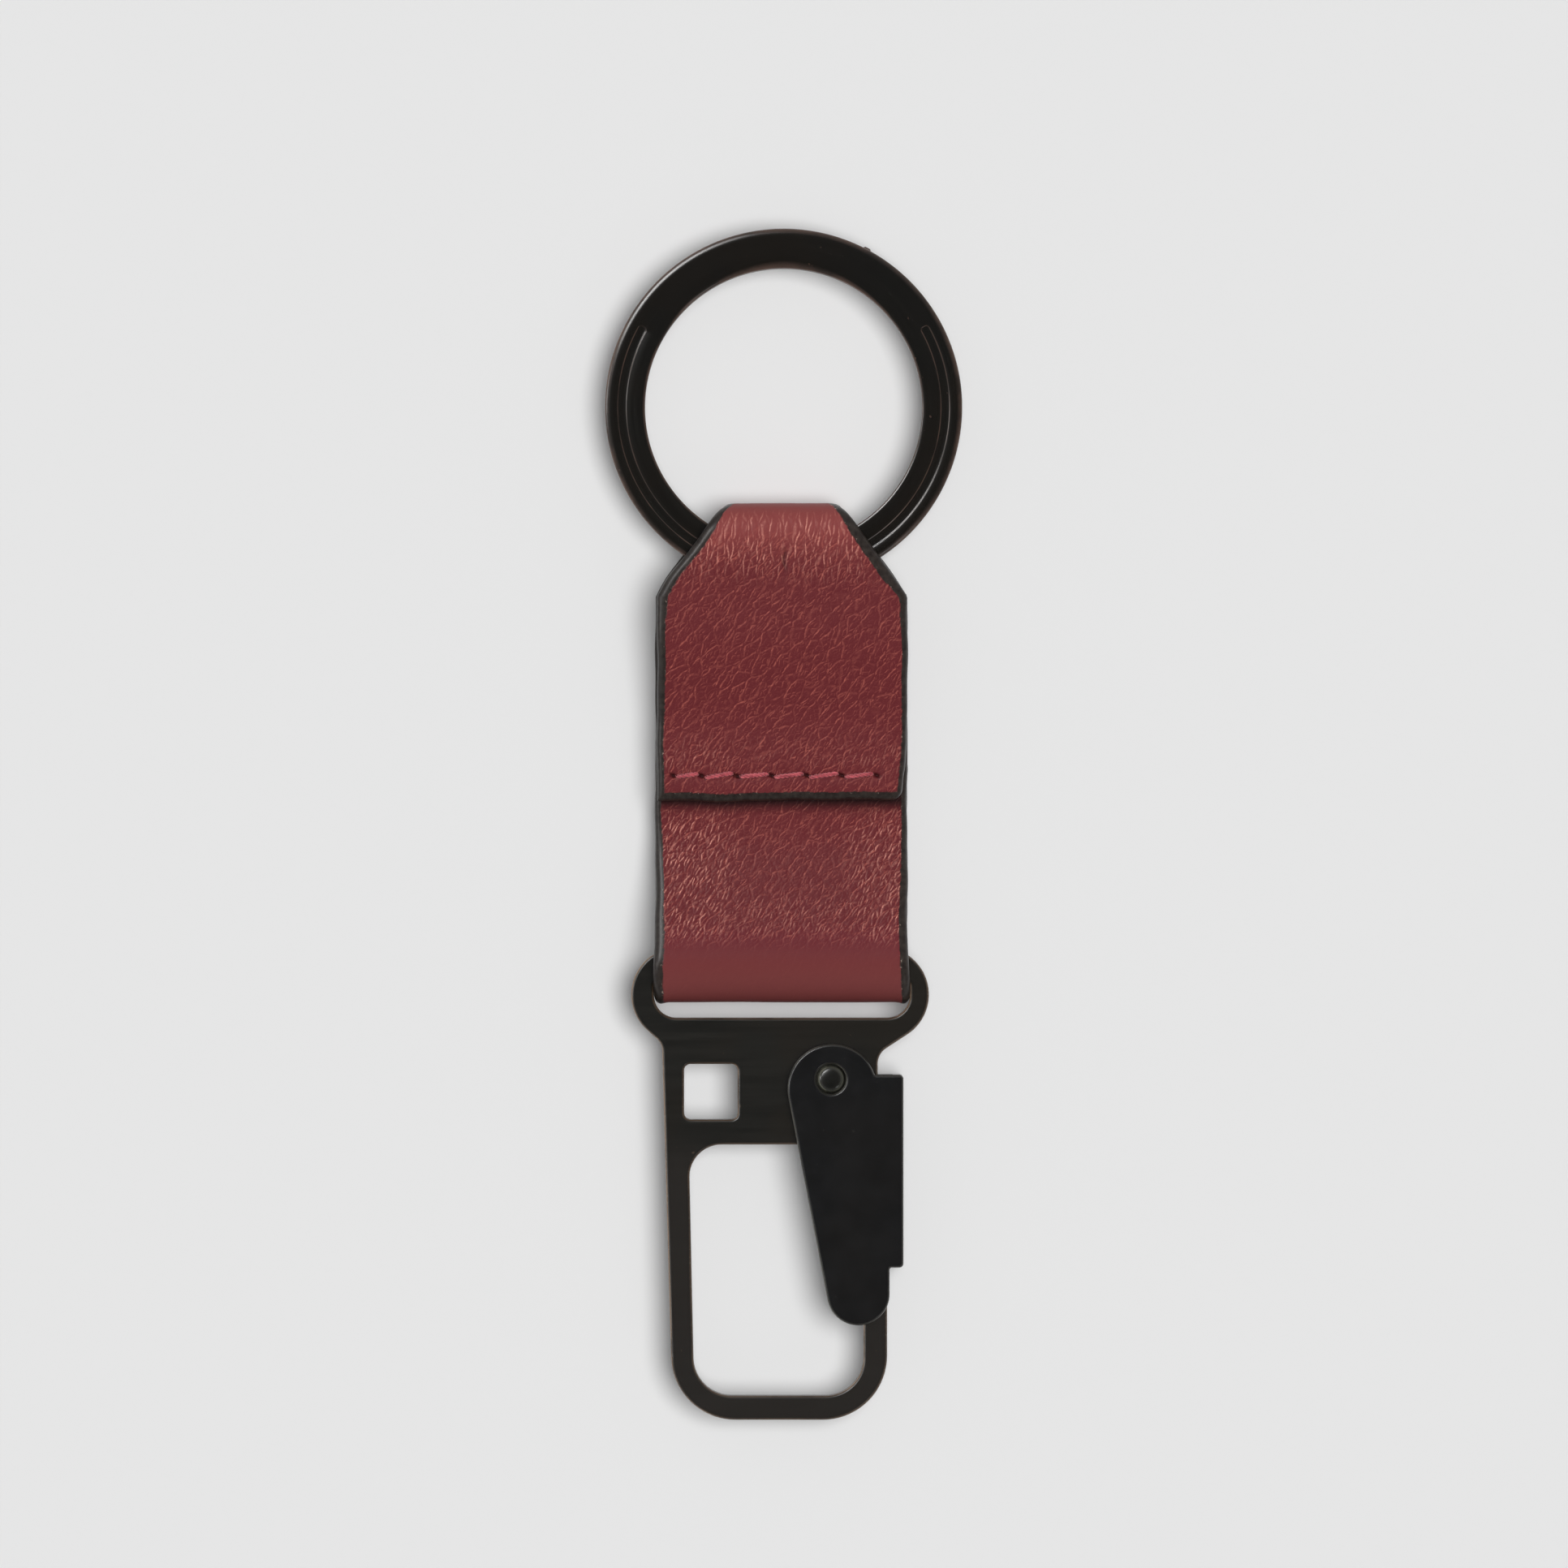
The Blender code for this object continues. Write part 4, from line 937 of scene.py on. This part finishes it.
def stitch_run(x0, x1, y0, y1, surface, depth, rise, side):
    """A stitch that comes out of one hole, lies along the leather and dives into the next."""
    dive = surface - side * depth
    low = surface - side * 0.02
    high = surface + side * rise
    climb = [(-0.02, -0.01, dive), (0, 0, (dive + low) / 2), (0.06, 0.01, low)]
    climb += [(0.22, 0.03, surface + side * rise * 0.6)]
    crest = [
        (x0 + 0.5, y0 + (y1 - y0) * 0.22, high),
        ((x0 + x1) / 2, (y0 + y1) / 2, high + side * 0.03),
        (x1 - 0.5, y0 + (y1 - y0) * 0.8, high),
    ]
    up = [(x0 + dx, y0 + dy, z) for dx, dy, z in climb]
    down = [(x1 - dx, y1 - dy, z) for dx, dy, z in reversed(climb)]
    return smoothed(up + crest + down)


def smoothed(points):
    """Corner cutting, three times over."""
    line = np.asarray(points, float)
    for _ in range(3):
        a = line[:-1] * 0.75 + line[1:] * 0.25
        b = line[:-1] * 0.25 + line[1:] * 0.75
        line = np.concatenate([line[:1], np.stack([a, b], 1).reshape(-1, 3), line[-1:]])
    return line


def build_stitches(name, node, runs, material):
    winding = (STRAND_RADIUS, 8, STRAND_OFFSET, STRAND_PITCH)
    strands = [swept_rings(run, *winding, k / STRANDS) for run in runs for k in range(STRANDS)]
    stitches = add_object(name, tube_mesh(name, *strands), material)
    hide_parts(node)
    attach(stitches, "strap")


def build_threads(material):
    rng = np.random.default_rng(3)
    front, back = [], []
    for a, b in zip(HOLES, HOLES[1:]):
        drop = rng.uniform(0.09, 0.19)
        inset = 0.40 + rng.uniform(-0.06, 0.08)
        front.append(stitch_run(a + inset, b - 0.36, SEAM_Y - drop, SEAM_Y + drop, FLAP_TOP, 1.2, 0.13, 1))
        back.append(stitch_run(a + 0.24, b - 0.24, SEAM_Y + 0.04, SEAM_Y - 0.04, BACK_FACE, 0.9, 0.17, -1))
    build_stitches("needle_stitches", "needle_thread", front, material)
    build_stitches("bobbin_stitches", "bobbin_thread", back, material)


# Key ring


def wire_section():
    """The flat wire's section as (radius, height), with points for the groove's walls."""
    t = RING_WIRE / 2
    walls = [GROOVE_HALF + GROOVE_WALL / 2, GROOVE_HALF, GROOVE_HALF - GROOVE_WALL / 2, GROOVE_FLOOR]
    walls += [-w for w in reversed(walls)]
    section = [(RING_OUT, 0.0)] + [(RING_OUT - inwards, t - down) for inwards, down in OUTER_BEVEL]
    section += [(GROOVE_RADIUS + w, t) for w in walls]
    section += [(RING_IN + outwards, t - down) for outwards, down in INNER_BEVEL] + [(RING_IN, 0.0)]
    return section + [(r, -z) for r, z in reversed(section[1:-1])]


def ring_angles():
    """Steps of one degree, with finer ones at the groove's ends and at the burr."""
    angles = set(np.arange(RING_START, RING_FINISH + 0.01, 1.0).round(3))
    for end in (90 + GROOVE_OPEN, 90 - GROOVE_OPEN):
        middle = (end - RING_BASE) % 360 + 360
        angles |= set(np.arange(middle - 2.2, middle + 2.2, 0.25).round(3))
    angles |= set(np.arange(BURR_ANGLE - 2.5, BURR_ANGLE + 2.5, 0.3).round(3))
    return sorted(angles)


def pressed(r, z, angle):
    """A point of the section, moved by the groove, the uneven inner bevel and the burr."""
    t = RING_WIRE / 2
    turn = (90 - RING_BASE - angle + 180) % 360 - 180  # from the ring's top
    if z > t - 1e-6 and angle > 360 + RING_STEP and abs(r - GROOVE_RADIUS) < 0.6:
        past_end = max(0.0, radians(GROOVE_OPEN - abs(turn)) * GROOVE_RADIUS)
        reach = hypot(r - GROOVE_RADIUS, past_end)
        z = z - GROOVE_DEPTH * np.clip((GROOVE_HALF + GROOVE_WALL / 2 - reach) / GROOVE_WALL, 0, 1)
    if r < BEVEL_LIMIT and z > 0.1:
        wide = np.interp(turn, BEVEL_TURNS, BEVEL_WIDTHS)
        r, z = RING_IN + (r - RING_IN) * wide, t - (t - z) * wide
    if angle < 360 and r > BURR_ROOT:
        r += BURR_SLOPE * ramp(1.6, 0.8, abs(angle - BURR_ANGLE)) * (r - BURR_ROOT)
    return r, z


def build_key_ring(material):
    """Two turns of one flat wire, stepped from one turn to the other at the bottom."""
    section = wire_section()
    angles = ring_angles()
    rings = []
    for angle in angles:
        lift = RING_LEVEL * (2 * ramp(360, 360 + RING_STEP, angle) - 1)
        polar = radians(RING_BASE + angle)
        c, s = cos(polar), sin(polar)
        points = [pressed(r, z, angle) for r, z in section]
        rings.append([(r * c, r * s + RING_Y, z + lift + RING_Z) for r, z in points])
    mesh = tube_mesh("split_ring", rings)
    across, along = line_lengths(section), np.radians(angles) * GROOVE_RADIUS
    add_uv(mesh, "wire", np.tile(across, len(angles)), np.repeat(along, len(section)))
    ring = add_object("split_ring", mesh, material)
    shade_by_area(ring)
    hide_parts("key_ring")
    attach(ring, "key_ring")


# Hook


def ear_arcs(slot_side, wall, side):
    """An ear's big arc and the smaller one that leads to the bar's upper edge."""
    offset = EAR_RADIUS - EAR_SHOULDER_RADIUS
    x = slot_side + side * (wall - EAR_RADIUS)
    top = BAR_WIDTH / 2 - EAR_SHOULDER_RADIUS
    big = (x, top - offset * sin(EAR_SHOULDER_ANGLE), EAR_RADIUS, 1)
    small = (x + side * offset * cos(EAR_SHOULDER_ANGLE), top, EAR_SHOULDER_RADIUS, 1)
    return big, small


def plate_outline():
    """From the hook's lower left corner, anticlockwise: nose, opening, lug and ears."""
    foot, top, tip = OPENING_FOOT_RADIUS, OPENING_TOP_RADIUS, NOSE_CORNER_RADIUS
    outer_y = FOOT_RADIUS - HOOK_LENGTH
    inner_y = BOTTOM_RAIL + foot - HOOK_LENGTH
    outer_tip = sqrt(TIP_REACH**2 - (FOOT_RIGHT - PIN_X) ** 2)
    inner_tip = sqrt(TIP_REACH**2 - (NOSE_INNER - PIN_X) ** 2)
    stop = SPINE_INSIDE - STOP_GAP  # from the pin to the line on which the open gate stops
    lug_drop = OPENING_DROP - LUG_RADIUS - PIVOT_DROP
    lug_reach = (stop - LUG_RADIUS - lug_drop * sin(GATE_OPEN)) / cos(GATE_OPEN)
    shoulder_reach = BODY_RIGHT - SHOULDER_RADIUS - PIN_X
    shoulder_drop = (stop - SHOULDER_RADIUS - shoulder_reach * cos(GATE_OPEN)) / sin(GATE_OPEN)
    arcs = [
        (FOOT_RADIUS - FOOT_LEFT, outer_y, FOOT_RADIUS, 1),
        (FOOT_RIGHT - FOOT_RADIUS, outer_y, FOOT_RADIUS, 1),
        (FOOT_RIGHT - tip, -PIVOT_DROP - outer_tip - tip, tip, 1),
        (NOSE_INNER + tip, -PIVOT_DROP - inner_tip - tip, tip, 1),
        (NOSE_INNER - foot, inner_y, foot, -1),
        (LEFT_RAIL - FOOT_LEFT + foot, inner_y, foot, -1),
        (UPPER_LEFT_RAIL - BODY_LEFT + top, -OPENING_DROP - top, top, -1),
        (PIN_X + lug_reach, -PIVOT_DROP - lug_drop, LUG_RADIUS, 1),
        (PIN_X + shoulder_reach, -PIVOT_DROP - shoulder_drop, SHOULDER_RADIUS, 1),
        (BODY_RIGHT + RIGHT_NECK_RADIUS, -RIGHT_NECK_DROP, RIGHT_NECK_RADIUS, -1),
        *ear_arcs(SLOT_RIGHT, RIGHT_EAR_WALL, 1),
        *reversed(ear_arcs(SLOT_LEFT, LEFT_EAR_WALL, -1)),
        (-BODY_LEFT - LEFT_NECK_RADIUS, -LEFT_NECK_DROP, LEFT_NECK_RADIUS, -1),
    ]
    return belt(arcs)


def spring_line():
    """From the moving leg's foot on the gate's spine, round the pin, to the fixed leg's end."""
    foot_x = SPINE_INSIDE - SPRING_FOOT_GAP
    reach = hypot(foot_x, SPRING_FOOT)
    first = atan2(-SPRING_FOOT, foot_x) + acos(SPRING_RADIUS / reach)
    line = [(foot_x, -SPRING_FOOT, SPRING_SHALLOW)]
    for share in np.linspace(0, 1, SPRING_POINTS):
        angle = first + tau * SPRING_TURNS * share
        height = SPRING_SHALLOW + (SPRING_DEEP - SPRING_SHALLOW) * share
        line.append((SPRING_RADIUS * cos(angle), SPRING_RADIUS * sin(angle), height))
    x, y, height = line[-1]
    line.append((x - SPRING_FIXED_LEG * sin(angle), y + SPRING_FIXED_LEG * cos(angle), height))
    return line


def build_hook_plate(material):
    slot = rounded_box(SLOT_LEFT, SLOT_RIGHT, -SLOT_DEPTH, -BAR_WIDTH / 2, *SLOT_RADII)
    top = SQUARE_WEB + SQUARE_HEIGHT - OPENING_DROP
    right = SQUARE_WIDTH - SQUARE_LEFT
    square = rounded_box(-SQUARE_LEFT, right, top - SQUARE_HEIGHT, top, SQUARE_RADIUS, SQUARE_RADIUS)
    mesh = plate_mesh("hook_body", [plate_outline(), slot, square], -HALF_PLATE, HALF_PLATE, PLATE_EDGE)
    plate = add_object("hook_body", mesh, material)
    place(plate, 0, BAR_Y, BAR_Z)
    x, y = PIN_X, -PIVOT_DROP
    (x0, y0, _), (x1, y1, _) = spring_line()[-2:]
    leg = belt([(x + x0, y + y0, POCKET_LEG_RADIUS, 1), (x + x1, y + y1, POCKET_LEG_RADIUS, 1)])
    left, low, right, high = x - RELIEF_LEFT, -OPENING_DROP - 1, x + SPINE_RIGHT, y + RELIEF_RISE
    cuts = [
        ("seat", round_loop(x, y, PIN_SEAT_RADIUS, PIN_SIDES), BEYOND),
        ("pocket", round_loop(x, y, POCKET_RADIUS, PIN_SIDES), POCKET_TOP),
        ("leg", leg, POCKET_TOP),
        ("relief", [(left, low), (right, low), (right, high), (left, high)], RELIEF_TOP),
    ]
    for name, loop, height in cuts:
        cut(plate, name, plate_mesh(name, [loop], -BEYOND, height))
    shade_flat_faces(plate)
    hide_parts("hook_plate")
    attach(plate, "hook")


def gate_outline():
    """The cheek's outline from its round foot, anticlockwise, with the spine at its right."""
    corner, notch = SPINE_CORNER_RADIUS, NOTCH_RADIUS
    foot_x, _, foot_radius = CHEEK_FOOT
    top_x, top_y, top_radius = CHEEK_TOP
    notch_y = SPINE_TOP + notch
    notch_x = top_x + sqrt((top_radius + notch) ** 2 - (notch_y - top_y) ** 2)
    arcs = [
        (*CHEEK_FOOT, 1),
        (foot_x + foot_radius + notch, -SPINE_BOTTOM - notch, notch, -1),
        (SPINE_RIGHT - corner, -SPINE_BOTTOM + corner, corner, 1),
        (SPINE_RIGHT - corner, SPINE_TOP - corner, corner, 1),
        (notch_x, notch_y, notch, -1),
        (*CHEEK_TOP, 1),
    ]
    return belt(arcs)


def build_gate(material):
    """A block with the cheeks' outline, hollowed between the cheeks, with its tab put back."""
    loops = [gate_outline(), round_loop(0, 0, PIN_HOLE_RADIUS)]
    mesh = plate_mesh("gate_shell", loops, -CHEEK_OUTSIDE, CHEEK_OUTSIDE, GATE_EDGE)
    gate = add_object("gate_shell", mesh, material)
    place(gate, PIN_X, PIN_Y, BAR_Z)
    left, low, high = HOLLOW
    hollow = [(left, low), (SPINE_INSIDE, low), (SPINE_INSIDE, high), (left, high)]
    cut(gate, "hollow", plate_mesh("hollow", [hollow], -CHEEK_INSIDE, CHEEK_INSIDE))
    tab_low = -TAB_DROP - TAB_LENGTH
    tab = rounded_box(TAB_RIGHT - TAB_WIDTH, TAB_RIGHT, tab_low, -TAB_DROP, TAB_RADIUS, TAB_RADIUS)
    cut(gate, "tab", plate_mesh("tab", [tab], *TAB_LEVELS), "UNION")
    shade_flat_faces(gate)
    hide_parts("gate")
    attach(gate, "gate")


def build_pin(material):
    """A turned pin whose ends are domed and slightly flattened."""
    profile = PIN_PROFILE + [(r, -z) for r, z in reversed(PIN_PROFILE)]
    rings = [[(x, y, z) for x, y in round_loop(0, 0, max(r, 0.002), PIN_SIDES)] for r, z in profile]
    pin = add_object("gate_pin", tube_mesh("gate_pin", rings), material)
    place(pin, PIN_X, PIN_Y, BAR_Z)
    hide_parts("pivot_pin")
    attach(pin, "hook")


def build_spring(material):
    """The coil's inner end sits in the plate and its other leg on the gate's spine; the coil is built at
    rest and joins no moving body.
    """
    line = np.array(spring_line()) + (PIN_X, PIN_Y, BAR_Z)
    mesh = tube_mesh("gate_spring", swept_rings(line, SPRING_WIRE, 12))
    spring = add_object("gate_spring", mesh, material)
    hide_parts("torsion_spring")
    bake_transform(spring)


# Stage


def build_floor():
    look = {"Base Color": (BACKDROP, BACKDROP, BACKDROP, 1), "Roughness": 1.0, "Specular IOR Level": 0.0}
    mesh = bpy.data.meshes.new("floor")
    r = 3.0
    mesh.from_pydata([(-r, -r, 0), (r, -r, 0), (r, r, 0), (-r, r, 0)], [], [(0, 1, 2, 3)])
    floor = add_object("floor", mesh, Surface("floor").finished(look))
    floor.location.z = -0.00002


def add_sun(name, azimuth, elevation, share, angle, shadow=False, diffuse=True, glossy=True):
    """A distant lamp that gives a level white surface this share of full brightness."""
    light = bpy.data.lights.new(name, "SUN")
    light.energy = share * pi / sin(radians(elevation))
    light.angle = radians(angle)
    light.use_shadow = shadow
    made = add_object(name, light)
    a, e = radians(azimuth), radians(elevation)
    towards = Vector((cos(e) * cos(a), cos(e) * sin(a), sin(e)))
    made.rotation_euler = (-towards).to_track_quat("-Z", "Y").to_euler()
    made.visible_diffuse = diffuse
    made.visible_glossy = glossy


def build_world():
    """White light all round; mirrored, it is bright near the horizon and dark overhead."""
    world = bpy.data.worlds.new("studio")
    bpy.context.scene.world = world
    world.use_nodes = True
    world.node_tree.nodes.clear()
    n = Nodes(world.node_tree)
    direction = n.coords("Generated")
    height = n.add("ShaderNodeSeparateXYZ", {0: direction}).outputs["Z"]
    leftwards = n.vector("DOT_PRODUCT", {0: direction, 1: (-0.7, 0.7, 0.0)}, "Value")
    mirrored = n.times(n.between(height, 0.5, 0.95, 0.6, 0.13), n.between(leftwards, -0.9, 0.8, 0.5, 1.0))
    light, mirror, seen = (
        n.add("ShaderNodeBackground", {"Color": (1, 1, 1, 1), "Strength": strength}).outputs[0]
        for strength in (WORLD_SHARE, mirrored, BACKDROP)
    )
    ray = n.add("ShaderNodeLightPath").outputs
    shiny = n.math("MAXIMUM", ray["Is Glossy Ray"], ray["Is Transmission Ray"])
    lit = n.add("ShaderNodeMixShader", {0: shiny, 1: light, 2: mirror}).outputs[0]
    shown = n.add("ShaderNodeMixShader", {0: ray["Is Camera Ray"], 1: lit, 2: seen}).outputs[0]
    n.add("ShaderNodeOutputWorld", {0: shown})


def build_camera():
    camera = bpy.data.cameras.new("photo_camera")
    camera.lens = LENS
    camera.sensor_width = SENSOR
    camera.clip_start = 0.01
    camera.clip_end = 20
    made = add_object("photo_camera", camera)
    place(made, *PHOTO_MIDDLE, PHOTO_WIDTH * LENS / SENSOR + PHOTO_LEVEL)
    bpy.context.scene.camera = made


for old in list(bpy.data.objects):
    if old.type in {"LIGHT", "CAMERA"}:
        bpy.data.objects.remove(old)
bpy.context.scene.view_settings.view_transform = "Standard"

build_camera()
leather = leather_material()
thread = thread_material()
ring_black = black_metal(
    "black_ring_steel", srgb(11, 10, 8), srgb(82, 63, 54), roughness=0.24, wear=0.7,
    grain=(9.0, 0.12, 1.0), polish=0.04, brushed="wire", corner_light=(1.0, 1.8),
)
plate_black = black_metal(
    "black_plate_steel", srgb(15, 14, 11), srgb(78, 64, 52), roughness=0.36, wear=0.6,
    grain=(120, 2400, 400), lighter_below=(-13.5, -17.5),
)
gate_black = black_metal("black_gate_steel", srgb(6, 6, 7), srgb(50, 49, 45), roughness=0.36, wear=0.5)
pin_black = black_metal("dark_pin_steel", srgb(13, 13, 11), srgb(60, 60, 52), roughness=0.3, wear=0.5)

build_leather(leather)
build_threads(thread)
build_key_ring(ring_black)
build_hook_plate(plate_black)
build_gate(gate_black)
build_pin(pin_black)
build_spring(spring_material())

build_floor()
build_world()
add_sun("key", -3, 76.5, 0.77, 37, shadow=True, glossy=False)
add_sun("upper_left", 132, 35, 0.09, 11, glossy=False)
add_sun("lower_right", -50, 35, 0.02, 16)
for k, share in enumerate(STRIP_SHARES):
    add_sun(f"strip_{k}", 110 + 13 * k, 45, share, 12, diffuse=False)
add_sun("left", 174, 28, 0.07, 16, diffuse=False)
